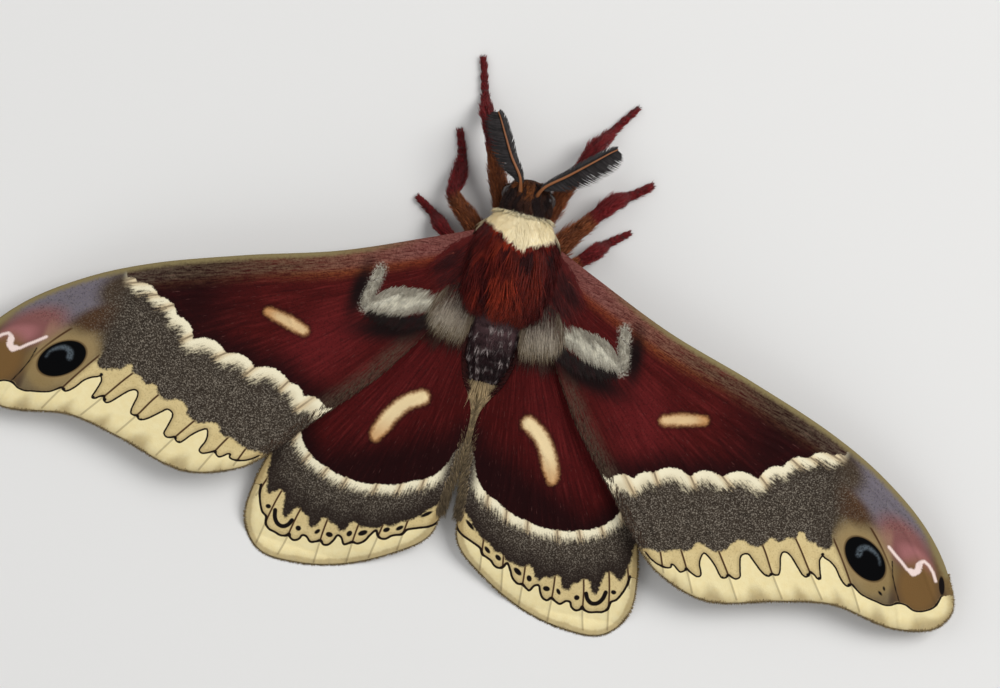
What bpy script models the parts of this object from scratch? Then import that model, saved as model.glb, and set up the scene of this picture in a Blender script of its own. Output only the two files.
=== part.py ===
"""Glover's silkmoth, a still life-size model standing on its feet with its wings spread.

Head towards -Y, the moth's right side towards -X, +Z up, floor at Z = 0.
Sizes are in millimetres and become metres where a mesh is made. Places are
(x, a, z): x to the moth's right, a tailward from the front of the thorax, z up.
"""
import math
import random

import bmesh
import bpy
import numpy as np
from mathutils import Matrix, Vector
from mathutils.geometry import delaunay_2d_cdt

MM = 0.001
GAP = 0.3                   # left between neighbouring pieces
STUB_CLEAR = 0.1            # more for a flat end on the rounded body
ORIGIN_A = 11.05            # where the origin lies along the body, the middle of the model
RIGHT, LEFT = 1, -1

# Body: stations of (a, half width, height of the axis, half height)
COLLAR_STATIONS = ((-1.1, 2.7, 5.3, 2.4), (-0.4, 3.3, 5.3, 2.9), (0.9, 4.0, 5.2, 3.4))
THORAX_STATIONS = ((1.2, 4.2, 5.2, 3.5), (3.0, 4.6, 5.1, 3.8), (5.5, 4.6, 5.0, 3.8),
                   (7.6, 4.1, 4.9, 3.5), (9.3, 3.2, 4.8, 2.9))
ABDOMEN_STATIONS = ((9.6, 2.7, 4.7, 2.7), (11.5, 2.7, 4.3, 2.6), (13.5, 2.6, 3.8, 2.4),
                    (15.2, 2.2, 3.2, 2.0), (16.5, 1.5, 2.6, 1.4), (17.1, 0.7, 2.3, 0.7))
HEAD_STATIONS = ((-4.9, 0.8, 4.2, 0.8), (-4.5, 1.5, 4.3, 1.5), (-3.6, 2.1, 4.4, 2.1),
                 (-2.6, 2.3, 4.6, 2.3), (-1.4, 2.0, 4.9, 2.1))
BODY_SIDES = 24

EYE_RADIUS = 1.05
EYE_CENTRE = (1.75, -3.2, 4.3)

# Wings: the outline's points in the plane of the wing, from the root's front
# corner round the tip to its rear corner, with the root's front and rear end
FOREWING_ROOT_A = (1.3, 7.6)
FOREWING_OUTLINE = ((9.0, 3.3), (17.0, 6.6), (26.0, 9.3), (35.0, 12.4), (41.0, 15.3),
                    (46.5, 19.2), (50.0, 23.3), (51.4, 26.8), (50.2, 28.9), (46.0, 29.9),
                    (39.5, 29.0), (34.5, 29.9), (27.0, 31.7), (21.7, 30.1), (19.2, 28.1),
                    (15.3, 23.6), (10.0, 17.5), (6.3, 11.8))
HINDWING_ROOT_A = (6.4, 8.9)
HINDWING_OUTLINE = ((9.0, 9.4), (13.0, 14.0), (16.6, 20.0), (18.6, 26.6), (19.8, 31.2),
                    (19.9, 35.3), (17.8, 37.8), (13.8, 38.1), (9.2, 37.1), (4.5, 34.7),
                    (1.6, 32.3), (0.8, 29.0), (0.45, 24.0), (0.5, 18.8), (2.2, 15.6),
                    (3.15, 11.5))
WING_THICKNESS = 0.55
OUTLINE_STEP = 1.7          # between points on a wing's rim
FILL_STEP = 3.4             # and within its membrane
RIM_CLEAR = 0.5             # how far points of the veins stay inside the rim
SAME_SPOT = 0.3             # points closer than this are one

# Height of the membrane: at the root, then how it rises and droops from there
FOREWING_ROOT_HEIGHT = 6.35
FOREWING_RISE = 0.030
FOREWING_DROOP_OUT = 0.0015
FOREWING_DROOP_BACK = 0.0033
HINDWING_ROOT_HEIGHT = 5.0
HINDWING_DROOP_OUT = 0.0008
HINDWING_FLOOR_REACH = 30.9     # length over which it comes down to the floor
HINDWING_FALL = 2.6             # how late in that length it falls

# Veins: each a curve through a few points, in the plane of the wing
CELL_FRONT, CELL_REAR = (20.8, 12.9), (19.2, 16.2)
FOREWING_VEINS = (
    ((6.2, 2.6), (16.0, 7.3), (30.0, 11.3), (44.0, 18.3)),
    ((6.0, 4.1), (13.0, 8.7), CELL_FRONT),
    ((5.7, 5.7), (12.0, 10.9), CELL_REAR),
    (CELL_FRONT, CELL_REAR),
    (CELL_FRONT, (34.0, 15.0), (49.6, 24.0)),
    (CELL_FRONT, (34.0, 18.4), (49.6, 28.2)),
    (CELL_FRONT, (31.0, 18.8), (44.8, 29.2)),
    ((20.4, 13.9), (29.0, 19.9), (40.4, 28.3)),
    ((19.8, 15.1), (27.0, 21.5), (36.4, 28.7)),
    (CELL_REAR, (25.0, 22.4), (32.4, 29.9)),
    ((17.3, 14.7), (22.3, 21.8), (28.3, 30.9)),
    ((14.2, 12.3), (18.8, 20.6), (24.2, 30.5)),
    ((5.7, 7.2), (10.0, 14.2), (16.4, 22.8), (20.8, 28.8)),
)
HIND_CELL_FRONT, HIND_CELL_REAR = (9.6, 23.4), (5.3, 18.6)
HINDWING_VEINS = (
    ((5.2, 7.6), (11.5, 15.5), (17.3, 26.0), (19.3, 33.2)),
    ((5.0, 8.4), (7.6, 15.5), HIND_CELL_FRONT),
    ((4.2, 9.4), (4.7, 14.0), HIND_CELL_REAR),
    (HIND_CELL_FRONT, HIND_CELL_REAR),
    ((7.6, 15.5), (13.0, 24.0), (18.6, 36.4)),
    (HIND_CELL_FRONT, (12.6, 29.0), (15.8, 37.4)),
    ((8.0, 21.5), (10.5, 29.0), (12.2, 37.2)),
    ((6.5, 19.9), (8.2, 28.0), (9.0, 36.3)),
    (HIND_CELL_REAR, (5.6, 26.0), (6.2, 34.9)),
    ((4.7, 14.0), (3.4, 24.0), (3.3, 33.0)),
)
VEIN_STEP = 2.2
VEIN_FOOT = 0.45            # from a vein's crest to where its ridge ends
VEIN_RIDGE = 0.18           # height of a ridge on each face

# Antennae: the shaft's points (x, a, z) from the head to the tip, and its two combs
ANTENNA_PATHS = {
    RIGHT: ((1.7, -4.5, 7.0), (3.4, -6.1, 7.1), (5.4, -8.1, 6.9), (6.9, -9.7, 6.5),
            (7.6, -10.1, 6.2)),
    LEFT: ((1.5, -4.9, 7.0), (2.8, -6.6, 7.1), (3.8, -8.5, 6.9), (4.7, -10.2, 6.5),
           (5.2, -10.8, 6.2)),
}
ANTENNA_ROOT = (-3.4, 64)   # on the head: a, and degrees round it from its side
SHAFT_RADIUS = 0.3
TOOTH_STEP = 0.72           # between neighbouring teeth of a comb
TOOTH_LENGTH = 2.2
TOOTH_HALF_WIDTH = 0.22
TOOTH_SLANT = 0.45          # how far a tooth points along the shaft, and its tip more
TIP_SLANT = 0.95
LOWER_COMB = 0.85           # length of the lower comb's teeth to the outer's

# Hair locks: length, width, thickness and how far they stand off the skin
THORAX_LOCK = (3.4, 1.5, 0.34, 0.95)
BELLY_LOCK = (2.8, 1.4, 0.34, 0.80)
COLLAR_LOCK = (2.4, 1.3, 0.32, 0.75)
# along a lock: share of its length, of its stand-off and of its width
LOCK_SHAPE = ((0.0, -0.50, 0.65), (0.22, 0.25, 0.95), (0.48, 0.75, 1.0), (0.76, 0.98, 0.7),
              (1.0, 0.9, 0.0))
LOCK_VARIES = 0.1           # share by which a lock's length and width differ
THORAX_ROWS, THORAX_ROW_STEP, THORAX_SPREAD = 7, 1.06, 104
THORAX_FIRST_ROW = 2.5      # its a on the midline; it comes forward at the sides
BELLY_ROWS, BELLY_ROW_STEP, BELLY_FIRST_ROW, BELLY_SPREAD = 4, 1.7, 1.9, 34
COLLAR_ROWS = ((-0.95, 7, 120), (0.15, 8, 132))     # a, locks across, degrees across
COLLAR_V = 2.4              # a of the V that the collar's locks make on the midline
COLLAR_LIFT = 0.52          # keeps them clear of the thorax below
SEED = 7

# Legs: what carries it, the root (a, degrees round the body from its side), knee,
# heel and toe, then the half widths of femur and tibia with their hair
LEGS = (
    ("leg_front_right", RIGHT, COLLAR_STATIONS, (0.0, -62), (5.1, -9.4, 3.0), (6.9, -12.2, 0.4),
     (8.6, -14.8, 0.3), 0.95, 0.8),
    ("leg_front_left", LEFT, COLLAR_STATIONS, (0.0, -62), (5.6, -9.2, 3.0), (6.8, -12.4, 0.4),
     (7.9, -16.0, 0.3), 0.95, 0.8),
    ("leg_mid_right", RIGHT, THORAX_STATIONS, (2.6, -50), (8.2, -4.5, 2.8), (9.9, -5.9, 0.4),
     (11.9, -7.5, 0.3), 1.25, 0.75),
    ("leg_mid_left", LEFT, THORAX_STATIONS, (2.6, -50), (7.3, -1.6, 2.8), (7.5, -5.6, 0.4),
     (8.4, -8.3, 0.3), 1.1, 0.75),
    ("leg_hind_right", RIGHT, THORAX_STATIONS, (5.8, -50), (7.7, 0.6, 2.4), (8.9, -0.7, 0.4),
     (10.8, -2.3, 0.3), 0.9, 0.6),
    ("leg_hind_left", LEFT, THORAX_STATIONS, (5.8, -50), (7.4, 2.0, 2.4), (8.9, 0.7, 0.4),
     (10.9, -0.7, 0.3), 0.9, 0.6),
)
HIP_RADIUS = 0.75
TARSUS_RADIUS = 0.36

COLOURS = {
    "fur_red": ((0.150, 0.010, 0.007), 0.85),
    "fur_cream": ((0.850, 0.800, 0.620), 0.90),
    "fur_dark": ((0.050, 0.012, 0.012), 0.85),
    "fur_brown": ((0.120, 0.030, 0.012), 0.85),
    "wing": ((0.110, 0.008, 0.012), 0.75),
    "feeler": ((0.130, 0.065, 0.030), 0.70),
    "eye": ((0.010, 0.008, 0.008), 0.15),
}


def remove_everything():
    for thing in list(bpy.data.objects):
        bpy.data.objects.remove(thing, do_unlink=True)


def material(name):
    """A plain finish with the named colour and roughness."""
    finish = bpy.data.materials.get(name) or bpy.data.materials.new(name)
    colour, roughness = COLOURS[name]
    finish.use_nodes = True
    shader = finish.node_tree.nodes["Principled BSDF"]
    shader.inputs["Base Color"].default_value = (*colour, 1.0)
    shader.inputs["Roughness"].default_value = roughness
    return finish


def place(x, a, z):
    """The model's own coordinates, in metres, of a place given in millimetres."""
    return Vector((-x, a - ORIGIN_A, z)) * MM


def node(name, mesh_builder, finish):
    """A named object made from a bmesh, closed and facing outwards."""
    bmesh.ops.recalc_face_normals(mesh_builder, faces=mesh_builder.faces)
    mesh = bpy.data.meshes.new(name)
    mesh_builder.to_mesh(mesh)
    mesh_builder.free()
    thing = bpy.data.objects.new(name, mesh)
    mesh.materials.append(material(finish))
    MOTH.objects.link(thing)
    thing.parent = STANCE
    return thing


def unit(vector):
    return vector / np.linalg.norm(vector)


def smooth_line(points, step):
    """Points about a step apart on a smooth curve through the given ones."""
    points = np.array(points, float)
    chords = np.linalg.norm(np.diff(points, axis=0), axis=1)
    times = np.concatenate(([0.0], np.cumsum(np.sqrt(chords))))
    slopes = np.gradient(points, times, axis=0) if len(points) > 2 else None
    dense = []
    for i in range(len(points) - 1):
        span = times[i + 1] - times[i]
        for u in np.linspace(0.0, 1.0, 24, endpoint=False):
            if slopes is None:
                dense.append(points[i] + u * (points[i + 1] - points[i]))
                continue
            blend = (2 * u**3 - 3 * u**2 + 1, u**3 - 2 * u**2 + u,
                     3 * u**2 - 2 * u**3, u**3 - u**2)
            dense.append(blend[0] * points[i] + blend[1] * span * slopes[i]
                         + blend[2] * points[i + 1] + blend[3] * span * slopes[i + 1])
    dense = np.array(dense + [points[-1]])
    along = np.concatenate(([0.0], np.cumsum(np.linalg.norm(np.diff(dense, axis=0), axis=1))))
    count = max(1, round(along[-1] / step))
    wanted = np.linspace(0.0, along[-1], count + 1)
    return np.stack([np.interp(wanted, along, column) for column in dense.T], axis=1)


def station(stations, a):
    """Half width, axis height and half height of a body piece at a."""
    line = smooth_line(stations, 0.1)
    return [np.interp(a, line[:, 0], line[:, i]) for i in (1, 2, 3)]


def skin_point(stations, a, degrees):
    """A place on a body piece, at an angle round it from its side towards its top."""
    half_width, axis, half_height = station(stations, a)
    turn = math.radians(degrees)
    return np.array((half_width * math.cos(turn), a, axis + half_height * math.sin(turn)))


def stub(stations, a, degrees, bend):
    """Two places that lead straight out of a body piece, the first just clear of it."""
    skin = skin_point(stations, a, degrees)
    _, axis, _ = station(stations, a)
    outward = unit(skin - np.array((0.0, a, axis)))
    start = skin + outward * (GAP + STUB_CLEAR)
    return start, start + outward * bend


def half_width_at(stations, a, z):
    """How far out a body piece reaches at a and at the height z."""
    half_width, axis, half_height = station(stations, a)
    return half_width * math.sqrt(max(0.0, 1.0 - ((z - axis) / half_height) ** 2))


def loft(stations, step):
    """A closed body of oval sections, with flat ends."""
    line = smooth_line(stations, step)
    build = bmesh.new()
    rings = []
    for a, half_width, axis, half_height in line:
        ring = []
        for i in range(BODY_SIDES):
            turn = 2 * math.pi * i / BODY_SIDES
            x, z = half_width * math.cos(turn), axis + half_height * math.sin(turn)
            ring.append(build.verts.new(place(x, a, z)))
        rings.append(ring)
    for near, far in zip(rings, rings[1:]):
        for i in range(BODY_SIDES):
            j = (i + 1) % BODY_SIDES
            build.faces.new((near[i], near[j], far[j], far[i]))
    build.faces.new(rings[0])
    build.faces.new(rings[-1])
    return build


def tube(path, radii, sides_resolution=2):
    """A bmesh tube along a path of places, its radius given at each."""
    curve = bpy.data.curves.new("path", "CURVE")
    curve.dimensions = "3D"
    curve.bevel_depth = MM
    curve.bevel_resolution = sides_resolution
    curve.use_fill_caps = True
    spline = curve.splines.new("POLY")
    spline.points.add(len(path) - 1)
    for point, spot, radius in zip(spline.points, path, radii):
        point.co = (*place(*spot), 1.0)
        point.radius = radius
    thing = bpy.data.objects.new("path", curve)
    GUIDES.objects.link(thing)
    bpy.context.view_layer.update()
    mesh = bpy.data.meshes.new_from_object(
        thing.evaluated_get(bpy.context.evaluated_depsgraph_get()))
    build = bmesh.new()
    build.from_mesh(mesh)
    bmesh.ops.remove_doubles(build, verts=build.verts, dist=1e-6)
    bpy.data.objects.remove(thing, do_unlink=True)
    bpy.data.meshes.remove(mesh)
    return build


def forewing_height(x, a):
    """Height of the middle of the forewing's membrane."""
    out, back = x - 5.0, a - 3.0
    return (FOREWING_ROOT_HEIGHT + FOREWING_RISE * out - FOREWING_DROOP_OUT * out**2
            - FOREWING_DROOP_BACK * back**2)


def hindwing_height(x, a):
    """Height of the middle of the hindwing's membrane, down to the floor at the rear."""
    back = max(0.0, a - HINDWING_ROOT_A[0]) / HINDWING_FLOOR_REACH
    return HINDWING_ROOT_HEIGHT * (1.0 - back**HINDWING_FALL) - HINDWING_DROOP_OUT * x**2


def distance_to_line(spot, line):
    """Shortest distance from a spot in the plane to a line of points."""
    start, end = line[:-1], line[1:]
    run = end - start
    share = ((spot - start) * run).sum(axis=1) / np.maximum((run**2).sum(axis=1), 1e-12)
    nearest = start + run * np.clip(share, 0.0, 1.0)[:, None]
    return float(np.sqrt(((spot - nearest) ** 2).sum(axis=1).min()))


def inside(spot, outline):
    """Whether a spot lies within a closed outline."""
    x, y = spot
    x0, y0 = outline[:, 0], outline[:, 1]
    x1, y1 = np.roll(x0, -1), np.roll(y0, -1)
    crosses = (y0 > y) != (y1 > y)
    with np.errstate(divide="ignore", invalid="ignore"):
        at = x0 + (y - y0) * (x1 - x0) / (y1 - y0)
    return bool(np.count_nonzero(crosses & (x < at)) % 2)


def wing_points(outline, veins):
    """The plane points of a wing's mesh and the vein lines among them."""
    points = [spot for spot in outline]
    closed = np.vstack((outline, outline[:1]))

    def near(spot, reach):
        return np.linalg.norm(np.array(points) - spot, axis=1).min() < reach

    lines = []
    for crest in veins:
        line = []
        for spot in crest:
            apart = np.linalg.norm(np.array(points) - spot, axis=1)
            if apart.min() < SAME_SPOT:
                index = int(apart.argmin())
            elif distance_to_line(spot, closed) < RIM_CLEAR:
                continue
            else:
                points.append(spot)
                index = len(points) - 1
            if index >= len(outline) and (not line or line[-1] != index):
                line.append(index)
        lines.append(line)
    for crest in veins:
        for hand in (1, -1):
            foot_line = []
            for here, ahead in zip(crest, crest[1:]):
                along = (ahead - here) / np.linalg.norm(ahead - here)
                spot = here + hand * VEIN_FOOT * np.array((-along[1], along[0]))
                clear = min(distance_to_line(spot, other) for other in veins)
                if clear > 0.9 * VEIN_FOOT and inside(spot, outline) \
                        and not near(spot, SAME_SPOT) \
                        and distance_to_line(spot, closed) > RIM_CLEAR:
                    points.append(spot)
                    foot_line.append(len(points) - 1)
                else:
                    lines.append(foot_line)
                    foot_line = []
            lines.append(foot_line)
    low, high = outline.min(axis=0), outline.max(axis=0)
    for row, a in enumerate(np.arange(low[1], high[1], FILL_STEP * 0.87)):
        for x in np.arange(low[0] + (row % 2) * FILL_STEP / 2, high[0], FILL_STEP):
            spot = np.array((x, a))
            if inside(spot, outline) and not near(spot, 0.45 * FILL_STEP) \
                    and distance_to_line(spot, closed) > RIM_CLEAR:
                points.append(spot)
    return points, lines


def wing(name, side, stations, root_a, outline_points, vein_points, height):
    """A thin curved wing with its veins raised on both faces, its root along the body."""
    root_height = height(5.0, sum(root_a) / 2)
    root = [(half_width_at(stations, a, root_height) + GAP, a)
            for a in np.linspace(root_a[1], root_a[0], 4)]
    outline = smooth_line((root[-1], *outline_points, root[0]), OUTLINE_STEP)
    outline = np.vstack((outline, root[1:-1]))
    veins = [smooth_line(points, VEIN_STEP) for points in vein_points]
    points, lines = wing_points(outline, veins)
    edges = [pair for line in lines for pair in zip(line, line[1:])]
    flat, _, faces, *_ = delaunay_2d_cdt(
        [Vector(spot) for spot in points], edges, [list(range(len(outline)))], 1, 1e-4)
    build = bmesh.new()
    tops, bottoms = [], []
    for spot in flat:
        x, a = spot
        clear = min(distance_to_line(np.array((x, a)), line) for line in veins)
        ridge = VEIN_RIDGE * max(0.0, 1.0 - clear / VEIN_FOOT)
        bottom = max(0.0, height(x, a) - WING_THICKNESS / 2)
        tops.append(build.verts.new(place(side * x, a, bottom + WING_THICKNESS + ridge)))
        bottoms.append(build.verts.new(place(side * x, a, max(0.0, bottom - ridge / 2))))
    for face in faces:
        build.faces.new([tops[i] for i in face])
        build.faces.new([bottoms[i] for i in reversed(face)])
    rim = [edge for edge in build.edges if edge.is_boundary and edge.verts[0] in set(tops)]
    partner = dict(zip(tops, bottoms))
    for edge in rim:
        first, second = edge.verts
        build.faces.new((first, second, partner[second], partner[first]))
    bmesh.ops.triangulate(build, faces=[f for f in build.faces if len(f.verts) > 3])
    return node(name, build, "wing")


def fused(name, core, pieces, finish):
    """A node made of a core with pieces sunk in it, joined into one closed surface."""
    thing = node(name, core, finish)
    joined = bpy.data.collections.new(name + "_pieces")
    bpy.context.scene.collection.children.link(joined)
    for piece in pieces:
        bmesh.ops.recalc_face_normals(piece, faces=piece.faces)
        mesh = bpy.data.meshes.new("piece")
        piece.to_mesh(mesh)
        piece.free()
        joined.objects.link(bpy.data.objects.new("piece", mesh))
    union = thing.modifiers.new("union", "BOOLEAN")
    union.operation = "UNION"
    union.operand_type = "COLLECTION"
    union.collection = joined
    union.solver = "MANIFOLD"
    bpy.context.view_layer.update()
    mesh = bpy.data.meshes.new_from_object(
        thing.evaluated_get(bpy.context.evaluated_depsgraph_get()))
    thing.modifiers.remove(union)
    thing.data = mesh
    for piece in list(joined.objects):
        bpy.data.objects.remove(piece, do_unlink=True)
    bpy.data.collections.remove(joined)
    keep_largest_surface(mesh)
    return thing


def keep_largest_surface(mesh):
    """Drops every closed surface of a mesh but the one that holds the most."""
    build = bmesh.new()
    build.from_mesh(mesh)
    bmesh.ops.remove_doubles(build, verts=build.verts, dist=1e-6)
    bmesh.ops.triangulate(build, faces=build.faces)
    left, surfaces = set(build.faces), []
    while left:
        grow, surface = [left.pop()], []
        while grow:
            face = grow.pop()
            surface.append(face)
            for edge in face.edges:
                for other in edge.link_faces:
                    if other in left:
                        left.remove(other)
                        grow.append(other)
        held = sum(f.verts[0].co.dot(f.verts[1].co.cross(f.verts[2].co)) for f in surface)
        surfaces.append((held, surface))
    surfaces.sort(key=lambda entry: -entry[0])
    dropped = [face for _, surface in surfaces[1:] for face in surface]
    bmesh.ops.delete(build, geom=dropped, context="FACES")
    build.to_mesh(mesh)
    build.free()


def taper(spots, acrosses, ups, half_widths, half_depths):
    """A closed spine of four sides along some spots, its last one a point."""
    build = bmesh.new()
    rings = []
    for spot, across, up, wide, deep in zip(spots[:-1], acrosses, ups, half_widths, half_depths):
        corners = (spot + across * wide, spot + up * deep, spot - across * wide, spot - up * deep)
        rings.append([build.verts.new(place(*corner)) for corner in corners])
    tip = build.verts.new(place(*spots[-1]))
    for near, far in zip(rings, rings[1:]):
        for i in range(4):
            j = (i + 1) % 4
            build.faces.new((near[i], near[j], far[j]))
            build.faces.new((near[i], far[j], far[i]))
    for i in range(4):
        build.faces.new((rings[-1][i], rings[-1][(i + 1) % 4], tip))
    build.faces.new(rings[0])
    return build


def lock(stations, a, degrees, size, draw, least_lift=0.0):
    """A flat tapered lock rooted on a body piece, bending back along it."""
    length, width, depth, stand = size
    length *= draw.uniform(1 - LOCK_VARIES, 1 + LOCK_VARIES)
    width *= draw.uniform(1 - LOCK_VARIES, 1 + LOCK_VARIES)
    lean = draw.uniform(-2.5, 2.5)
    spots, ups, half_widths, half_depths = [], [], [], []
    for share, lift, wide in LOCK_SHAPE:
        run = share * length
        turn = degrees + lean * run
        skin = skin_point(stations, a + run, turn)
        half_width, axis, half_height = station(stations, a + run)
        up = unit(np.array((math.cos(math.radians(turn)) / half_width, 0.0,
                            math.sin(math.radians(turn)) / half_height)))
        height = lift * stand
        if share > 0.0:
            height = max(height, least_lift)
        spots.append(skin + up * height)
        ups.append(up)
        half_widths.append(wide * width / 2)
        half_depths.append(depth / 2 * (1.0 - 0.4 * share))
    acrosses = []
    for i, up in enumerate(ups):
        along = spots[min(i + 1, len(spots) - 1)] - spots[max(i - 1, 0)]
        acrosses.append(unit(np.cross(along, up)))
    return taper(spots, acrosses, ups, half_widths, half_depths)


def thorax():
    """The thorax with its dense coat in overlapping locks, clear of wings and legs."""
    draw = random.Random(SEED)
    pieces = []
    for row in range(THORAX_ROWS):
        across = 8 - row % 2
        for i in range(across):
            side = (i - (across - 1) / 2) / 3.5
            a = THORAX_FIRST_ROW - 0.9 * abs(side) + row * THORAX_ROW_STEP
            degrees = 90 + side * THORAX_SPREAD / 2
            pieces.append(lock(THORAX_STATIONS, a, degrees, THORAX_LOCK, draw))
    for row in range(BELLY_ROWS):
        for side in (-0.5, 0.0, 0.5):
            a = BELLY_FIRST_ROW + row * BELLY_ROW_STEP
            pieces.append(lock(THORAX_STATIONS, a, -90 + side * BELLY_SPREAD, BELLY_LOCK, draw))
    return fused("thorax", loft(THORAX_STATIONS, 1.0), pieces, "fur_red")


def collar():
    """The pale collar, its locks lying back over the front of the thorax in a V."""
    draw = random.Random(SEED + 1)
    front = (*COLLAR_STATIONS, *THORAX_STATIONS)
    pieces = []
    longest, *rest = COLLAR_LOCK
    for start, across, spread in COLLAR_ROWS:
        for i in range(across):
            side = 2 * i / (across - 1) - 1
            reach = COLLAR_V - 1.7 * abs(side)
            length = min(longest, max(1.4, reach - start))
            degrees = 90 + side * spread / 2
            pieces.append(lock(front, start, degrees, (length, *rest), draw, COLLAR_LIFT))
    return fused("collar", loft(COLLAR_STATIONS, 0.6), pieces, "fur_cream")


def antenna(name, side):
    """A shaft with two combs: one row of teeth outward and back, one row down."""
    keys = (*stub(HEAD_STATIONS, *ANTENNA_ROOT, 0.45), *ANTENNA_PATHS[side])
    path = smooth_line(keys, 0.8)
    thinning = 1.0 - 0.35 * np.linspace(0.0, 1.0, len(path))
    core = tube([(side * x, a, z) for x, a, z in path], SHAFT_RADIUS * thinning, 1)
    rungs = smooth_line(keys, TOOTH_STEP)
    pieces = []
    for i in range(2, len(rungs) - 1):
        share = i / (len(rungs) - 1)
        along = unit(rungs[i + 1] - rungs[i - 1])
        outer = unit(np.cross((0.0, 0.0, 1.0), along))
        longest = TOOTH_LENGTH * min(1.0, 2.6 * share, 0.35 + 3.2 * (1.0 - share))
        lower = unit(-0.35 * outer - (0.0, 0.0, 1.0))
        pieces.append(tooth(rungs[i], along, outer, longest, side))
        pieces.append(tooth(rungs[i], along, lower, longest * LOWER_COMB, side))
    return fused(name, core, pieces, "feeler")


def tooth(root, along, out, length, side):
    """One tooth of a comb, rooted in the shaft and curving towards the feeler's tip."""
    way = unit(out + TOOTH_SLANT * along)
    middle = root + way * length / 2
    tip = middle + unit(out + TIP_SLANT * along) * length / 2
    across = unit(along - way * along.dot(way))
    mirror = np.array((side, 1, 1))
    up = np.cross(way, across) * mirror
    wide = (TOOTH_HALF_WIDTH, 0.8 * TOOTH_HALF_WIDTH, 0.0)
    return taper([spot * mirror for spot in (root, middle, tip)], [across * mirror] * 3,
                 [up] * 3, wide, wide)


def leg(name, side, stations, root, knee, heel, toe, thigh, shin):
    """One leg: thick haired femur, tibia, and a tarsus lying flat on the floor."""
    start, hip = stub(stations, *root, 0.5)
    knee, heel, toe = (np.array(spot) for spot in (knee, heel, toe))
    middle = (hip + knee) / 2
    calf = knee + (heel - knee) * 0.45
    keys = [(*start, HIP_RADIUS), (*hip, HIP_RADIUS), (*middle, thigh), (*knee, thigh * 0.62),
            (*calf, shin), (*heel, TARSUS_RADIUS), (*toe, TARSUS_RADIUS * 0.7)]
    line = smooth_line(keys, 0.9)
    build = tube([(side * x, a, z) for x, a, z, _ in line], line[:, 3])
    for vertex in build.verts:
        vertex.co.z = max(0.0, vertex.co.z)
    return node(name, build, "fur_brown")


def eye(name, side):
    x, a, z = EYE_CENTRE
    build = bmesh.new()
    bmesh.ops.create_icosphere(build, subdivisions=2, radius=EYE_RADIUS * MM,
                               matrix=Matrix.Translation(place(side * x, a, z)))
    return node(name, build, "eye")


def cut_sockets(head):
    """Cuts a round socket for each eye, wider than the eye by the gap."""
    x, a, z = EYE_CENTRE
    for side in (RIGHT, LEFT):
        build = bmesh.new()
        bmesh.ops.create_icosphere(build, subdivisions=2, radius=(EYE_RADIUS + GAP) * MM,
                                   matrix=Matrix.Translation(place(side * x, a, z)))
        mesh = bpy.data.meshes.new("socket")
        build.to_mesh(mesh)
        build.free()
        cutter = bpy.data.objects.new("socket", mesh)
        GUIDES.objects.link(cutter)
        cutter.hide_render = True
        cutter.display_type = "WIRE"
        cut = head.modifiers.new("socket", "BOOLEAN")
        cut.operation = "DIFFERENCE"
        cut.object = cutter


remove_everything()
MOTH = bpy.data.collections.new("silkmoth")
GUIDES = bpy.data.collections.new("cutters")
bpy.context.scene.collection.children.link(MOTH)
bpy.context.scene.collection.children.link(GUIDES)
STANCE = bpy.data.objects.new("stance", None)    # carries every piece
MOTH.objects.link(STANCE)

cut_sockets(node("head", loft(HEAD_STATIONS, 0.6), "fur_dark"))
collar()
thorax()
node("abdomen", loft(ABDOMEN_STATIONS, 0.8), "fur_dark")
for word, hand in (("right", RIGHT), ("left", LEFT)):
    eye("eye_" + word, hand)
    antenna("antenna_" + word, hand)
    wing("forewing_" + word, hand, THORAX_STATIONS, FOREWING_ROOT_A, FOREWING_OUTLINE,
         FOREWING_VEINS, forewing_height)
    wing("hindwing_" + word, hand, THORAX_STATIONS, HINDWING_ROOT_A, HINDWING_OUTLINE,
         HINDWING_VEINS, hindwing_height)
for row in LEGS:
    leg(*row)
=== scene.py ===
"""The looks of a Glover's silkmoth, seen from above on a plain pale floor.

Sizes are in millimetres and become metres where a mesh is made. Places on the
wings are (x, a): x outward from the body's middle, a tailward. Places on the
body are (x, a, z), with x to the moth's right and z up from the floor.
"""
import math

import bmesh
import bpy
import numpy as np
from mathutils import Matrix, Vector
from mathutils.geometry import delaunay_2d_cdt


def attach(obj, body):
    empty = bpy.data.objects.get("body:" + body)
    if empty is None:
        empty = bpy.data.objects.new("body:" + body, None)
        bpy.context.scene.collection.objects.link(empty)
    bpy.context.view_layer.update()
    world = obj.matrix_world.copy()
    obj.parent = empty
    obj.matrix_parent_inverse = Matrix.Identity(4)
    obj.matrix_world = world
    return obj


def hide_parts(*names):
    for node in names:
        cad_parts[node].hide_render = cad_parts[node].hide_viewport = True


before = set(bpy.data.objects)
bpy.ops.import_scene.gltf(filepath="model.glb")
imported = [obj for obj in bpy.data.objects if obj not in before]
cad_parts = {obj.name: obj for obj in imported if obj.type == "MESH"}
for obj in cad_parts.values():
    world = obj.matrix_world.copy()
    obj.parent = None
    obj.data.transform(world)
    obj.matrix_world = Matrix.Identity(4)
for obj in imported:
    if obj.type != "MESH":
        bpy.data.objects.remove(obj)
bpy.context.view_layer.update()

MM = 0.001
ORIGIN_A = 11.05
RIGHT, LEFT = 1, -1
SIDES = (("right", RIGHT), ("left", LEFT))
RNG = np.random.default_rng(11)

# The photo's frame: 0.1 mm a pixel at the height of the wings
IMAGE_WIDTH = 100.0
AIM = (0.77, 11.76, 5.0)
CAMERA_DISTANCE = 400.0
IMAGE_UP = (0.242, -0.970)
SENSOR = 36.0
FLOOR_GREY = (0.80, 0.79, 0.77)
FLOOR_REACH = 2.0
WORLD_WHITE = (0.95, 0.97, 1.0, 1.0)
WORLD_STRENGTH = 0.32
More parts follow.
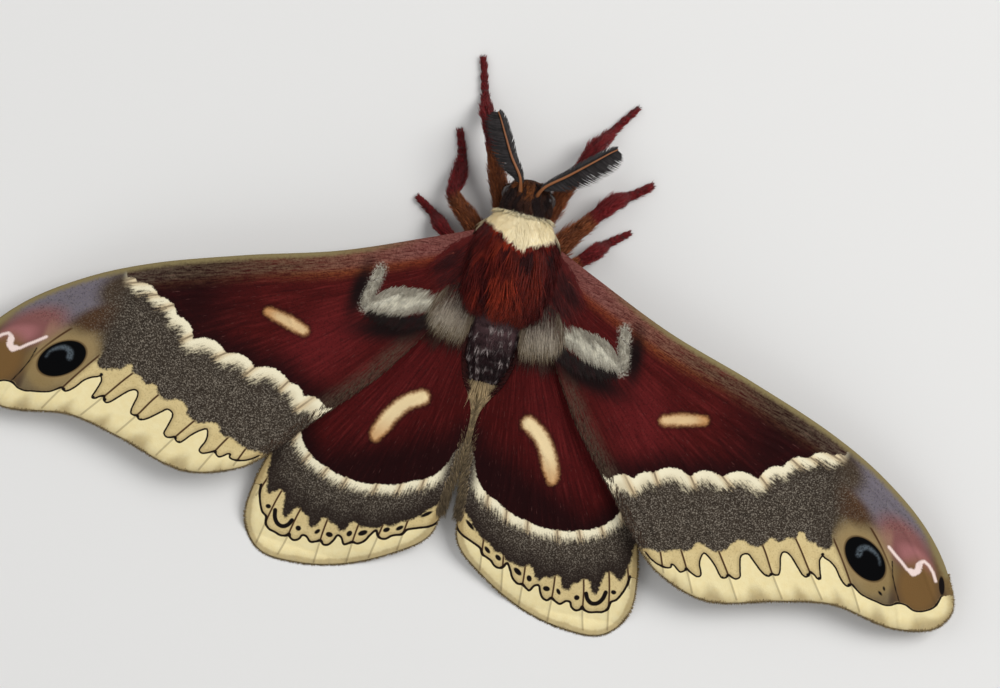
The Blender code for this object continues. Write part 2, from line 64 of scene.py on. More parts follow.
# Area lights: (name, place in metres, size, power), all aimed at the moth
LIGHTS = (("key", (-0.35, -0.30, 0.55), 0.40, 3.6), ("fill", (0.45, -0.10, 0.50), 0.60, 0.8),
          ("rear", (0.05, 0.50, 0.45), 0.60, 0.7))
LINE_STEP = 0.2          # between the points of a smooth line

# The body's core: stations of (a, half width, height of the axis, half height)
BODY = ((-4.95, 0.2, 4.2, 0.2), (-4.8, 0.9, 4.2, 0.9), (-4.4, 1.55, 4.3, 1.55),
        (-3.6, 2.05, 4.4, 2.05), (-2.6, 2.25, 4.6, 2.25), (-1.6, 2.2, 4.9, 2.2),
        (-1.0, 2.7, 5.2, 2.4), (-0.4, 3.2, 5.2, 2.8), (0.9, 3.9, 5.2, 3.3),
        (1.5, 4.15, 5.15, 3.45), (3.0, 4.5, 5.1, 3.7), (5.5, 4.5, 5.0, 3.7),
        (7.6, 4.0, 4.9, 3.4), (9.0, 3.1, 4.8, 2.9), (10.0, 2.65, 4.6, 2.65),
        (11.5, 2.6, 4.3, 2.5), (13.5, 2.5, 3.8, 2.3), (15.2, 2.1, 3.2, 1.9),
        (16.5, 1.4, 2.6, 1.3), (17.0, 0.7, 2.35, 0.65), (17.15, 0.1, 2.3, 0.1))

FOREWING_ROOT = ((4.5, 7.6), (4.85, 5.4), (4.75, 3.2), (4.45, 1.3))
FOREWING_OUTLINE = ((9.0, 3.3), (17.0, 6.6), (26.0, 9.3), (35.0, 12.4), (41.0, 15.3),
                    (46.5, 19.2), (50.0, 23.3), (51.4, 26.8), (50.2, 28.9), (46.0, 29.9),
                    (39.5, 29.0), (34.5, 29.9), (27.0, 31.7), (21.7, 30.1), (19.2, 28.1),
                    (15.3, 23.6), (10.0, 17.5), (6.3, 11.8))
HINDWING_ROOT = ((3.75, 8.9), (4.3, 7.6), (4.65, 6.4))
HINDWING_OUTLINE = ((9.0, 9.4), (13.0, 14.0), (16.6, 20.0), (18.6, 26.6), (19.8, 31.2),
                    (19.9, 35.3), (17.8, 37.8), (13.8, 38.1), (9.2, 37.1), (4.5, 34.7),
                    (1.6, 32.3), (0.8, 29.0), (0.45, 24.0), (0.5, 18.8), (2.2, 15.6),
                    (3.15, 11.5))
CELL_FRONT, CELL_REAR = (20.8, 12.9), (19.2, 16.2)
FOREWING_VEINS = (
    ((6.2, 2.6), (16.0, 7.3), (30.0, 11.3), (44.0, 18.3)),
    ((6.0, 4.1), (13.0, 8.7), CELL_FRONT),
    ((5.7, 5.7), (12.0, 10.9), CELL_REAR),
    (CELL_FRONT, CELL_REAR),
    (CELL_FRONT, (36.0, 14.6), (44.5, 20.0), (49.8, 26.6)),
    (CELL_FRONT, (34.5, 15.6), (41.0, 20.4), (44.6, 24.8), (46.6, 29.6)),
    ((20.4, 13.9), (32.4, 16.2), (38.2, 23.0), (40.75, 26.6), (42.3, 29.1)),
    ((19.8, 15.1), (28.7, 18.0), (34.1, 23.4), (36.42, 26.4), (38.3, 28.8)),
    (CELL_REAR, (25.5, 19.2), (31.1, 24.9), (32.75, 27.4), (34.4, 29.7)),
    ((17.5, 14.9), (22.3, 19.8), (26.9, 26.4), (28.5, 28.6), (30.0, 30.9)),
    ((14.2, 12.6), (18.9, 20.6), (23.1, 27.0), (24.3, 29.0), (25.5, 31.3)),
    ((5.7, 7.2), (10.0, 14.0), (17.0, 22.6), (20.6, 26.6), (22.2, 30.0)),
)
HIND_CELL_FRONT, HIND_CELL_REAR = (9.6, 23.4), (5.3, 18.6)
HINDWING_VEINS = (
    ((5.2, 7.6), (11.5, 15.5), (16.6, 25.0), (19.4, 32.5)),
    ((5.0, 8.4), (7.6, 15.5), HIND_CELL_FRONT),
    ((4.2, 9.4), (4.7, 14.0), HIND_CELL_REAR),
    (HIND_CELL_FRONT, HIND_CELL_REAR),
    ((7.6, 15.5), (12.0, 22.5), (15.8, 28.4), (17.2, 32.1), (18.05, 35.9), (18.3, 37.2)),
    (HIND_CELL_FRONT, (12.8, 27.6), (14.8, 33.1), (15.5, 36.4), (15.9, 37.8)),
    ((8.4, 22.0), (10.8, 28.2), (11.9, 33.7), (12.2, 37.8)),
    ((6.9, 20.4), (7.8, 28.3), (8.7, 33.2), (9.0, 37.0)),
    (HIND_CELL_REAR, (5.4, 27.0), (6.3, 32.5), (6.9, 35.9)),
    ((4.7, 14.0), (3.2, 24.5), (3.9, 31.0), (4.3, 34.4)),
)


def place(x, a, z):
    """The model's own coordinates, in metres, of places given in millimetres."""
    return np.stack(np.broadcast_arrays(-np.asarray(x, float), np.asarray(a, float) - ORIGIN_A,
                                        np.asarray(z, float)), axis=-1) * MM


def smooth_line(points, step=LINE_STEP):
    """Points about a step apart on a smooth curve through the given ones."""
    points = np.array(points, float)
    chords = np.linalg.norm(np.diff(points, axis=0), axis=1)
    times = np.concatenate(([0.0], np.cumsum(np.sqrt(chords))))
    slopes = np.gradient(points, times, axis=0)
    dense = []
    for i in range(len(points) - 1):
        span = times[i + 1] - times[i]
        u = np.linspace(0.0, 1.0, 24, endpoint=False)[:, None]
        dense.append((2 * u**3 - 3 * u**2 + 1) * points[i]
                     + (u**3 - 2 * u**2 + u) * span * slopes[i]
                     + (3 * u**2 - 2 * u**3) * points[i + 1]
                     + (u**3 - u**2) * span * slopes[i + 1])
    dense = np.vstack(dense + [points[-1:]])
    along = np.concatenate(([0.0], np.cumsum(np.linalg.norm(np.diff(dense, axis=0), axis=1))))
    count = max(1, round(along[-1] / step))
    wanted = np.linspace(0.0, along[-1], count + 1)
    return np.stack([np.interp(wanted, along, column) for column in dense.T], axis=1)


def distance(spots, line):
    """Distance of many plane spots to a line of points."""
    line = np.asarray(line, float)
    best = np.full(len(spots), np.inf)
    for start, end in zip(line[:-1], line[1:]):
        run = end - start
        share = np.clip(((spots - start) @ run) / max(run @ run, 1e-12), 0.0, 1.0)
        gap = spots - start - share[:, None] * run
        best = np.minimum(best, (gap**2).sum(axis=1))
    return np.sqrt(best)


def inside(spots, outline):
    """Which of many plane spots lie within a closed outline."""
    outline = np.asarray(outline, float)
    x, y = spots[:, 0], spots[:, 1]
    odd = np.zeros(len(spots), bool)
    for (x0, y0), (x1, y1) in zip(outline, np.roll(outline, -1, axis=0)):
        if y0 == y1:
            continue
        crosses = (y0 > y) != (y1 > y)
        odd ^= crosses & (x < x0 + (y - y0) * (x1 - x0) / (y1 - y0))
    return odd


def signed(spots, line, rest):
    """Distance to a line, positive within the outline that it makes with its rest."""
    within = inside(spots, np.vstack((line, rest)))
    return distance(spots, line) * np.where(within, 1.0, -1.0)


def fade(value, low, high):
    """0 at low, 1 at high, smooth between."""
    share = np.clip((value - low) / (high - low), 0.0, 1.0)
    return share * share * (3.0 - 2.0 * share)


def spot_mask(spots, centre, radii, degrees=0.0, soft=0.5):
    """1 within a tilted ellipse, fading out over a share of its size."""
    reach = ellipse(spots, centre, radii, degrees)
    return 1.0 - fade(reach, 1.0 - soft, 1.0 + soft)


def ellipse(spots, centre, radii, degrees=0.0):
    """How far spots are from an ellipse's middle, 1 on its rim."""
    turn = math.radians(degrees)
    u = (spots - centre) @ (math.cos(turn), math.sin(turn))
    v = (spots - centre) @ (-math.sin(turn), math.cos(turn))
    return np.hypot(u / radii[0], v / radii[1])


class Net:
    """Short calls that lay a material's nodes."""

    def __init__(self, name):
        self.material = bpy.data.materials.new(name)
        self.material.use_nodes = True
        self.tree = self.material.node_tree
        self.shader = self.tree.nodes["Principled BSDF"]

    def put(self, socket, value):
        if isinstance(value, bpy.types.NodeSocket):
            self.tree.links.new(value, socket)
        elif isinstance(value, tuple) and len(value) == 3 and len(socket.default_value) == 4:
            socket.default_value = (*value, 1.0)
        else:
            socket.default_value = value

    def node(self, kind, settings=(), inputs=()):
        node = self.tree.nodes.new(kind)
        for name, value in dict(settings).items():
            setattr(node, name, value)
        for name, value in dict(inputs).items():
            self.put(node.inputs[name], value)
        return node

    def attribute(self, name):
        return self.node("ShaderNodeAttribute", {"attribute_name": name}).outputs["Fac"]

    def colour(self, name):
        return self.node("ShaderNodeAttribute", {"attribute_name": name}).outputs["Color"]

    def math(self, operation, first, second=0.0, clamp=False):
        return self.node("ShaderNodeMath", {"operation": operation, "use_clamp": clamp},
                         {0: first, 1: second}).outputs[0]

    def fade(self, value, low, high):
        return self.node("ShaderNodeMapRange", {"interpolation_type": "SMOOTHSTEP"},
                         {"Value": value, "From Min": low, "From Max": high}).outputs[0]

    def place(self):
        return self.node("ShaderNodeTexCoord").outputs["Object"]

    def noise(self, size, detail=2.0, rough=0.5, where=None):
        """Noise whose patches are about size millimetres across."""
        return self.node("ShaderNodeTexNoise", (), {
            "Vector": where or self.place(), "Scale": 1.0 / (size * MM), "Detail": detail,
            "Roughness": rough}).outputs["Fac"]

    def cells(self, size):
        return self.node("ShaderNodeTexVoronoi", (), {
            "Vector": self.place(), "Scale": 1.0 / (size * MM)}).outputs["Distance"]

    def mix(self, share, first, second):
        node = self.tree.nodes.new("ShaderNodeMix")
        node.data_type = "RGBA"
        self.put(node.inputs[0], share)
        self.put(node.inputs[6], first)
        self.put(node.inputs[7], second)
        return node.outputs[2]

    def finish(self, colour, roughness, bump=None, bump_size=0.02, strength=0.6):
        self.put(self.shader.inputs["Base Color"], colour)
        self.put(self.shader.inputs["Roughness"], roughness)
        if bump is not None:
            lift = self.node("ShaderNodeBump", (), {
                "Height": bump, "Distance": bump_size * MM, "Strength": strength})
            self.put(self.shader.inputs["Normal"], lift.outputs[0])
        return self.material


def wing_material():
    """Scaled wing: every zone is a distance or mask on the mesh, broken up by scale noise."""
    net = Net("wing_scales")
    grain = net.noise(0.20, 2.0, 0.6)
    coarse = net.noise(2.4, 3.0, 0.6)
    edge = net.math("MULTIPLY", net.math("SUBTRACT", net.noise(0.30, 2.0, 0.6), 0.5), 0.42)
    fuzz = net.math("MULTIPLY", net.math("SUBTRACT", net.noise(0.20, 1.0, 0.5), 0.5), 1.5)
    hind, under = net.attribute("hind"), net.attribute("under")
    rim, costal = net.attribute("rim"), net.attribute("costal")
    vein = net.attribute("vein")
    ray = net.node("ShaderNodeAttribute", {"attribute_name": "ray"}).outputs["Vector"]
    fine_ray = net.node("ShaderNodeVectorMath", {"operation": "MULTIPLY"},
                        {0: ray, 1: (2.3, 4.0, 1.0)}).outputs[0]
    streak, hair = (net.node("ShaderNodeTexNoise", (), {
        "Vector": where, "Scale": 1.0, "Detail": 3.0, "Roughness": 0.6}).outputs["Fac"]
        for where in (ray, fine_ray))
    fray = net.math("MULTIPLY", net.math("SUBTRACT", hair, 0.5), 2.4)

    def less(value):
        return net.math("SUBTRACT", 1.0, value)

    def times(first, second):
        return net.math("MULTIPLY", first, second)

    def near(value, reach, soft=0.05):
        """1 where a distance, frayed by scales, is within reach."""
        return less(net.fade(net.math("ADD", value, edge), reach - soft, reach + soft))

    def beyond(value, start, soft=0.05):
        return net.fade(net.math("ADD", value, edge), start - soft, start + soft)

    # maroon ground with faint streaks, a painted sheen, darker scales and a few pale hairs
    ground = net.mix(coarse, (0.047, 0.0044, 0.0040), (0.078, 0.0072, 0.0066))
    ground = net.mix(hind, ground, net.mix(coarse, (0.058, 0.0046, 0.0042),
                                           (0.036, 0.0024, 0.0022)))
    # lighter red where the sheen mark lies: painted sheen of scales catching the light
    ground = net.mix(net.attribute("sheen"), ground, (0.130, 0.0120, 0.0135))
    for noise, low, high, share, paint in ((streak, 0.48, 0.75, 0.36, (0.190, 0.022, 0.021)),
                                           (streak, 0.50, 0.28, 0.50, (0.018, 0.0026, 0.0030)),
                                           (grain, 0.50, 0.32, 0.40, (0.016, 0.0030, 0.0030))):
        ground = net.mix(times(net.fade(noise, low, high), share), ground, paint)
    ground = net.mix(net.attribute("dark"), ground, (0.0085, 0.0022, 0.0026))
    ground = net.mix(times(net.fade(hair, 0.62, 0.72), 0.20), ground, (0.27, 0.105, 0.090))
    frost = net.math("ADD", times(net.fade(grain, 0.34, 0.60), 0.45), 0.45)
    frost = times(times(net.attribute("frost"), frost), net.fade(hair, 0.30, 0.60))
    ground = net.mix(frost, ground, net.colour("frost_colour"))
    # near-black painted shadow under the basal hair lobe and beside its arm
    ground = net.mix(times(net.attribute("shade"), 0.93), ground, (0.0045, 0.0035, 0.0035))
    patch = net.attribute("patch")
    patch = times(net.fade(net.math("ADD", patch, times(fuzz, 0.7)), 0.10, 0.95),
                  net.fade(patch, 0.05, 0.30))
    ground = net.mix(patch, ground, net.mix(net.fade(grain, 0.35, 0.65), (0.10, 0.085, 0.065),
                                            (0.36, 0.34, 0.28)))

    # cream spot at the end of the cell
    spot = net.attribute("spot")
    ground = net.mix(times(near(spot, 0.28, 0.34), 0.7), ground, (0.014, 0.004, 0.003))
    spot_colour = net.mix(net.fade(net.math("ADD", spot, edge), -0.42, 0.12),
                          (0.82, 0.64, 0.36), (0.42, 0.21, 0.090))
    spot_colour = net.mix(net.attribute("spot_end"), spot_colour, (0.52, 0.24, 0.080))
    ground = net.mix(near(spot, 0.0, 0.30), ground, spot_colour)

    # grey speckled band, which runs into the lilac and brown towards the forewing's tip
    distal = net.attribute("distal")
    salt = net.fade(net.noise(0.15, 2.0, 0.6), 0.46, 0.72)
    pepper = net.noise(0.55, 3.0, 0.7)
    grey = net.mix(pepper, (0.0085, 0.0058, 0.0045), (0.070, 0.053, 0.038))
    grey = net.mix(net.attribute("gloom"), grey, (0.020, 0.0125, 0.0100))
    grey = net.mix(net.attribute("apex"), grey, net.colour("apex_colour"))
    grey = net.mix(times(net.fade(grain, 0.48, 0.33), 0.4), grey, (0.012, 0.008, 0.006))
    grey = net.mix(times(salt, net.attribute("salt")), grey, (0.300, 0.258, 0.203))
    wing = net.mix(beyond(distal, 0.0), ground, grey)

    # cream terminal zone, tan inside the wavy line, with a brown rim, and brown clouds between veins
    # that are painted shade of the wing's folds
    cream, outer = net.attribute("cream"), net.attribute("outer")
    tan = net.mix(net.noise(0.9, 3.0, 0.6), (0.60, 0.45, 0.20), (0.76, 0.62, 0.32))
    tan = net.mix(times(net.fade(grain, 0.48, 0.36), 0.22), tan, (0.24, 0.15, 0.06))
    tan = net.mix(times(net.fade(outer, -0.50, -0.10), 0.45), tan, (0.36, 0.27, 0.13))
    pale = net.mix(net.noise(0.7, 3.0, 0.6), (0.84, 0.68, 0.33), (0.92, 0.82, 0.50))
    terminal = net.mix(net.fade(outer, -0.05, 0.05), tan, pale)
    terminal = net.mix(net.attribute("apex_ground"), terminal, net.colour("apex_colour"))
    # brown rim along the margin, and painted shade of the folds as clouds between the veins
    between = times(net.fade(vein, 0.8, 1.9), net.math("SUBTRACT", 0.9, times(hind, 0.75)))
    reach = net.math("SUBTRACT", net.math("ADD", rim, times(edge, 0.5)), between)
    brown_rim_and_fold_shade = times(less(net.fade(reach, -0.70, 1.30)), 0.66)
    brown_rim_and_fold_shade = net.math("MAXIMUM", brown_rim_and_fold_shade, times(times(less(net.fade(reach, 0.30, 0.75)), 0.6), hind))
    terminal = net.mix(brown_rim_and_fold_shade, terminal, net.mix(net.noise(0.6, 2.0, 0.6), (0.145, 0.085, 0.028),
                                                (0.34, 0.225, 0.085)))
    soft = net.attribute("soft")
    terminal_here = net.fade(net.math("ADD", cream, net.math("MULTIPLY", edge, 1.4)),
                             net.math("SUBTRACT", -0.16, times(soft, 0.7)),
                             net.math("ADD", 0.16, times(soft, 0.6)))
    wing = net.mix(terminal_here, wing, terminal)

    # white band
    width = net.attribute("band_width")
    band = times(beyond(distal, 0.0, 0.08), less(net.fade(net.math("ADD", net.math(
        "SUBTRACT", distal, width), net.math("ADD", fray, times(fuzz, 0.6))), -0.50, 0.50)))
    band = times(band, net.attribute("band_here"))
    band_colour = net.mix(net.fade(distal, 0.3, 1.2), (0.89, 0.81, 0.58), (0.72, 0.63, 0.43))
    band_colour = net.mix(times(less(net.fade(vein, 0.1, 0.6)), 0.45), band_colour,
                          (0.58, 0.38, 0.17))
    wing = net.mix(band, wing, band_colour)
    wing = net.mix(times(less(net.fade(net.math("ADD", costal, edge), 0.15, 0.75)),
                         net.attribute("costal_line")), wing, (0.235, 0.185, 0.085))

    # veins, wavy line, dots and eyespot
    tan_zone = times(net.fade(cream, -0.2, 0.1), less(net.fade(outer, -0.1, 0.2)))
    thread = times(less(net.fade(vein, 0.05, 0.14)), net.math("MAXIMUM", times(band, 0.65),
                   net.math("MAXIMUM", tan_zone, times(net.fade(cream, -0.1, 0.1), 0.40))))
    wing = net.mix(times(thread, net.attribute("vein_here")), wing, (0.075, 0.036, 0.016))
    thick = net.math("ADD", times(less(net.fade(vein, 0.05, 0.40)), 0.03), times(hind, 0.03))
    line = net.math("SUBTRACT", net.math("ABSOLUTE", outer), thick)
    line = less(net.fade(net.math("ADD", line, times(edge, 0.12)), 0.06, 0.12))
    wing = net.mix(line, wing, (0.014, 0.0085, 0.0060))
    wing = net.mix(less(net.fade(net.attribute("dots"), -0.04, 0.06)), wing,
                   (0.0080, 0.0055, 0.0050))
    rings = net.attribute("eye")
    wing = net.mix(times(less(net.fade(rings, 1.05, 1.40)), 0.35), wing, (0.30, 0.20, 0.09))
    wing = net.mix(times(less(net.fade(rings, 1.02, 1.10)), 0.8), wing, (0.10, 0.06, 0.025))
    wing = net.mix(less(net.fade(rings, 0.97, 1.02)), wing, (0.0012, 0.0013, 0.0016))
    wing = net.mix(times(net.attribute("crescent"), net.fade(grain, 0.15, 0.62)), wing,
                   (0.105, 0.130, 0.150))
    wing = net.mix(net.attribute("zigzag"), wing, (0.90, 0.72, 0.66))

    # paler, browner underside
    below = net.mix(0.55, wing, net.mix(grain, (0.11, 0.060, 0.045), (0.24, 0.17, 0.13)))
    wing = net.mix(under, wing, below)
    scales = net.math("ADD", times(net.cells(0.13), 0.6), times(grain, 0.8))
    net.shader.inputs["Specular IOR Level"].default_value = 0.06
    return net.finish(wing, 0.80, scales, 0.035, 0.55)


def mesh_object(name, points, triangles, material, smooth=True):
    """A mesh piece from arrays, in the model's own coordinates."""
    mesh = bpy.data.meshes.new(name)
    mesh.vertices.add(len(points))
    mesh.vertices.foreach_set("co", np.asarray(points, np.float32).ravel())
    mesh.loops.add(triangles.size)
    mesh.loops.foreach_set("vertex_index", np.asarray(triangles, np.int32).ravel())
    mesh.polygons.add(len(triangles))
    mesh.polygons.foreach_set("loop_start", np.arange(0, triangles.size, 3, dtype=np.int32))
    mesh.polygons.foreach_set("use_smooth", np.full(len(triangles), smooth))
    mesh.update(calc_edges=True)
    mesh.materials.append(material)
    piece = bpy.data.objects.new(name, mesh)
    bpy.context.collection.objects.link(piece)
    return piece


def settle(piece, slot, *nodes):
    """The piece rides on the body and stands for the nodes that it replaces; its slot is not used.
    """
    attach(piece, "root")
    if nodes:
        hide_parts(*nodes)


def mark(mesh, name, values):
    """Keep values on the mesh's points: numbers, vectors or colours."""
    values = np.asarray(values, np.float32)
    if values.ndim == 1:
        mesh.attributes.new(name, "FLOAT", "POINT").data.foreach_set("value", values)
    elif name.endswith(("colour", "tint")):
        layer = mesh.attributes.new(name, "FLOAT_COLOR", "POINT")
        layer.data.foreach_set("color", np.column_stack((values, np.ones(len(values)))).ravel())
    else:
        mesh.attributes.new(name, "FLOAT_VECTOR", "POINT").data.foreach_set("vector",
                                                                            values.ravel())


def hex_points(low, high, step):
    rows = np.arange(low[1], high[1], step * math.sqrt(0.75))
    x, a = np.meshgrid(np.arange(low[0], high[0], step), rows)
    x = x + (np.arange(len(rows)) % 2)[:, None] * step / 2
    return np.stack((x.ravel(), a.ravel()), axis=1)


POINT_STEPS = (0.30, 0.17, 0.125)     # between a wing's points, the finer the pattern
MEMBRANE = 0.16
VEIN_RIDGE = 0.10


def wing_outline(root, outline):
    """The closed outline, root edge last."""
    line = smooth_line((root[-1], *outline, root[0]))
    return np.vstack((line, np.array(root)[1:-1]))


def wing_net(outline, veins, fine):
    """Points and triangles over a wing, with points along its veins and closer where fine."""
    lines = [smooth_line(vein) for vein in veins]
    points = [outline]
    for number, line in enumerate(lines):
        run = np.gradient(line, axis=0)
        beside = np.stack((-run[:, 1], run[:, 0]), axis=1)
        beside = 0.15 * beside / np.linalg.norm(run, axis=1)[:, None]
        clear = np.ones(len(line), bool)
        for other in lines[:number]:
            clear &= distance(line, other) > 0.2
        points.append(line[clear])
        for row in (line + beside, line - beside):
            clear = np.ones(len(row), bool)
            for other in lines:
                clear &= distance(row, other) > 0.12
            points.append(row[clear])
    low, high = outline.min(axis=0), outline.max(axis=0)
    for level, step in enumerate(POINT_STEPS):
        grid = hex_points(low, high, step)
        grid = grid[fine(grid) == level]
        grid = grid[inside(grid, outline)]
        clear = np.ones(len(grid), bool)
        for line in lines:
            clear &= distance(grid, line) > 0.25
        points.append(grid[clear])
    spots = np.vstack(points[1:])
    loop = np.vstack((outline, outline[:1]))
    spots = spots[inside(spots, outline) & (distance(spots, loop) > 0.11)]
    spots = np.vstack((outline, spots))
    count = len(outline)
    edges = [(i, (i + 1) % count) for i in range(count)]
    found = delaunay_2d_cdt([Vector(spot) for spot in spots], edges, [], 1, 1e-6)
    return np.array([tuple(spot) for spot in found[0]]), np.array(found[2])


def vein_distance(spots, veins):
    return np.min([distance(spots, smooth_line(vein)) for vein in veins], axis=0)


def membrane(x):
    """Thickness of a wing, which grows towards its root."""
    return MEMBRANE + 0.25 * (1 - fade(x, 5, 11))


def forewing_height(x, a):
    mid = 6.35 + 0.030 * (x - 5) - 0.0015 * (x - 5)**2 - 0.0033 * (a - 3)**2
    return mid + 0.10 * np.sin(0.33 * x + 0.21 * a) * fade(x, 8, 20)


def hindwing_height(x, a):
    mid = 5.0 * (1 - (np.maximum(0, a - 6.4) / 30.9)**2.6) - 0.0008 * x**2
    mid = mid + 0.08 * np.sin(0.6 * x + 0.25 * a) * fade(mid, 0.2, 1.0)
    return np.maximum(mid, MEMBRANE / 2 + 0.03)


def wing(name, side, net, heights, marks, veins, material):
    """A membrane with raised veins, closed round its rim, carrying its marks."""
    spots, faces = net
    x, a = spots.T
    vein = vein_distance(spots, veins)
    thick = membrane(x)
    middle = heights(x, a) - 0.06 * fade(vein, 0.1, 1.3)
    ridge = VEIN_RIDGE * np.exp(-(vein / 0.14)**2)
    top = middle + thick / 2 + ridge
    bottom = np.maximum(middle - thick / 2 - 0.6 * ridge, 0.0)
    points = np.vstack((place(side * x, a, top), place(side * x, a, bottom)))
    count = len(spots)
    corner = points[faces]
    turn = np.cross(corner[:, 1] - corner[:, 0], corner[:, 2] - corner[:, 0])[:, 2]
    up = np.where((turn > 0)[:, None], faces, faces[:, ::-1])
    directed = np.vstack((up[:, (0, 1)], up[:, (1, 2)], up[:, (2, 0)]))
    keys = directed[:, 0].astype(np.int64) * count + directed[:, 1]
    back = directed[:, 1].astype(np.int64) * count + directed[:, 0]
    rim = directed[~np.isin(keys, back)]
    triangles = np.vstack((up, up[:, ::-1] + count,
                           np.column_stack((rim[:, 1], rim[:, 0], rim[:, 0] + count)),
                           np.column_stack((rim[:, 1], rim[:, 0] + count, rim[:, 1] + count))))
    piece = mesh_object(name, points, triangles, material)
    marks = dict(marks, vein=vein)
    for label, values in marks.items():
        mark(piece.data, label, np.concatenate((values, values)))
    mark(piece.data, "under", np.repeat((0.0, 1.0), count))
    settle(piece, "wing_scales", name.replace("_skin", ""))


# Corners of the white band's inner edge, where the veins cross it
BAND_NOTCHES = ((40.0, 12.4), (36.9, 14.3), (35.8, 14.6), (33.4, 15.4), (31.2, 16.8), (29.1, 18.7),
                (25.5, 19.3), (22.4, 20.0), (18.7, 20.6), (17.0, 21.6), (14.6, 22.2), (12.0, 22.8))
BAND_BULGE = 0.19
BAND_REST = ((8.0, 36.0), (62.0, 36.0), (62.0, 12.0))
TERMINAL_EDGE = (
    (16.0, 28.6), (19.0, 28.3), (20.1, 28.1), (20.95, 28.15), (21.5, 28.05), (22.2, 27.8),
    (22.9, 27.45), (23.7, 27.4), (24.3, 27.1), (24.5, 26.55), (25.0, 26.3), (25.8, 26.5),
    (26.5, 26.7), (27.3, 26.55), (27.9, 26.1), (28.3, 25.3), (29.0, 24.95), (29.7, 25.15),
    (30.5, 25.3), (31.15, 25.0), (31.5, 24.3), (31.9, 24.0), (32.55, 24.25), (33.0, 24.05),
    (33.4, 23.6), (34.2, 23.5), (34.5, 22.65), (34.9, 22.8), (35.4, 23.4), (36.1, 23.5),
    (36.9, 23.8), (37.6, 23.8), (38.0, 23.2), (37.9, 22.5), (38.2, 21.6), (39.0, 21.0),
    (40.5, 20.7), (43.0, 20.6), (46.5, 20.6), (50.0, 22.5), (55.0, 27.0))
TERMINAL_REST = ((60.0, 36.0), (14.0, 36.0))
WAVY_LINE = (
    (20.0, 28.5), (20.6, 28.95), (21.5, 29.35), (22.5, 29.45), (22.8, 29.3), (22.75, 29.0),
    (23.05, 29.05), (23.45, 29.35), (23.85, 29.55), (24.2, 29.3), (24.3, 29.05), (24.6, 29.2),
    (25.1, 29.45), (25.6, 29.6), (25.9, 29.4), (25.8, 29.0), (25.5, 28.35), (25.45, 27.65),
    (25.65, 27.1), (26.0, 27.25), (26.5, 27.6), (27.1, 28.15), (27.65, 28.8), (28.0, 29.1),
    (28.4, 29.0), (28.55, 28.65), (28.95, 28.8), (29.4, 28.9), (29.75, 28.6), (29.6, 27.95),
    (29.35, 27.0), (29.3, 26.55), (29.55, 26.25), (30.0, 26.15), (30.5, 26.55), (31.15, 27.1),
    (31.65, 27.5), (32.2, 27.8), (32.6, 27.8), (32.75, 27.5), (33.1, 27.55), (33.45, 27.45),
    (33.5, 27.05), (33.35, 26.3), (33.2, 25.6), (33.3, 25.15), (33.6, 25.05), (34.15, 25.3),
    (34.7, 25.8), (35.3, 26.4), (35.85, 26.9), (36.2, 27.0), (36.45, 26.75), (36.42, 26.4),
    (36.9, 26.55), (37.4, 26.9), (37.65, 26.85), (37.45, 26.2), (37.2, 25.45), (37.1, 24.95),
    (37.3, 24.55), (37.6, 24.7), (38.05, 24.85), (38.8, 25.35), (39.5, 26.2), (40.1, 26.75),
    (40.5, 26.9), (40.8, 26.6), (41.3, 26.9), (41.9, 27.3), (42.75, 27.55), (43.65, 27.7),
    (44.5, 27.85), (45.25, 27.7), (45.75, 27.35), (46.1, 27.3), (46.7, 27.35), (47.6, 27.7),
    (48.5, 27.55), (49.4, 27.0), (49.75, 26.4), (49.95, 25.6))
WAVY_REST = ((53.0, 24.5), (53.0, 36.0), (16.0, 36.0), (19.3, 28.3))
# Dark knots where veins meet the wavy line: (x, a, size)
KNOTS = ((24.25, 29.1, 0.12), (28.5, 28.75, 0.15), (28.05, 29.05, 0.11), (32.7, 27.6, 0.16),
         (32.3, 27.8, 0.12), (36.35, 26.75, 0.19), (37.5, 26.8, 0.14), (37.25, 24.4, 0.17),
         (40.6, 26.75, 0.18), (22.8, 29.15, 0.10))
FLECKS = ((44.1, 26.25, 0.22, 0.11, 60.0), (43.85, 26.8, 0.28, 0.12, 35.0))
CELL_SPOT = ((18.5, 15.2), (20.3, 14.7), (22.4, 14.25))
BASE_ARM = ((12.5, 7.4), (12.9, 9.2), (13.2, 11.4))
BASE_LOBE = ((7.2, 9.4), (10.0, 10.4), (12.6, 11.2))
EYESPOT = ((41.5, 23.8), (2.6, 1.6), 37.0)
CRESCENT = ((40.8, 23.5), (40.85, 22.95), (41.4, 22.65), (42.2, 22.9), (42.8, 23.35),
            (43.1, 24.0))
ZIGZAG = ((43.5, 22.05), (44.5, 22.8), (45.1, 23.2), (45.85, 23.8), (46.55, 24.1), (47.0, 23.7),
          (46.95, 23.1), (47.3, 22.6), (47.9, 22.9), (48.5, 23.5), (49.0, 24.3))
TIP_FLECK = (49.7, 24.6, 0.95, 0.28, 72.0)
TIP_VEIN = ((44.2, 23.4), (44.7, 25.0), (45.4, 26.3), (45.95, 27.2))
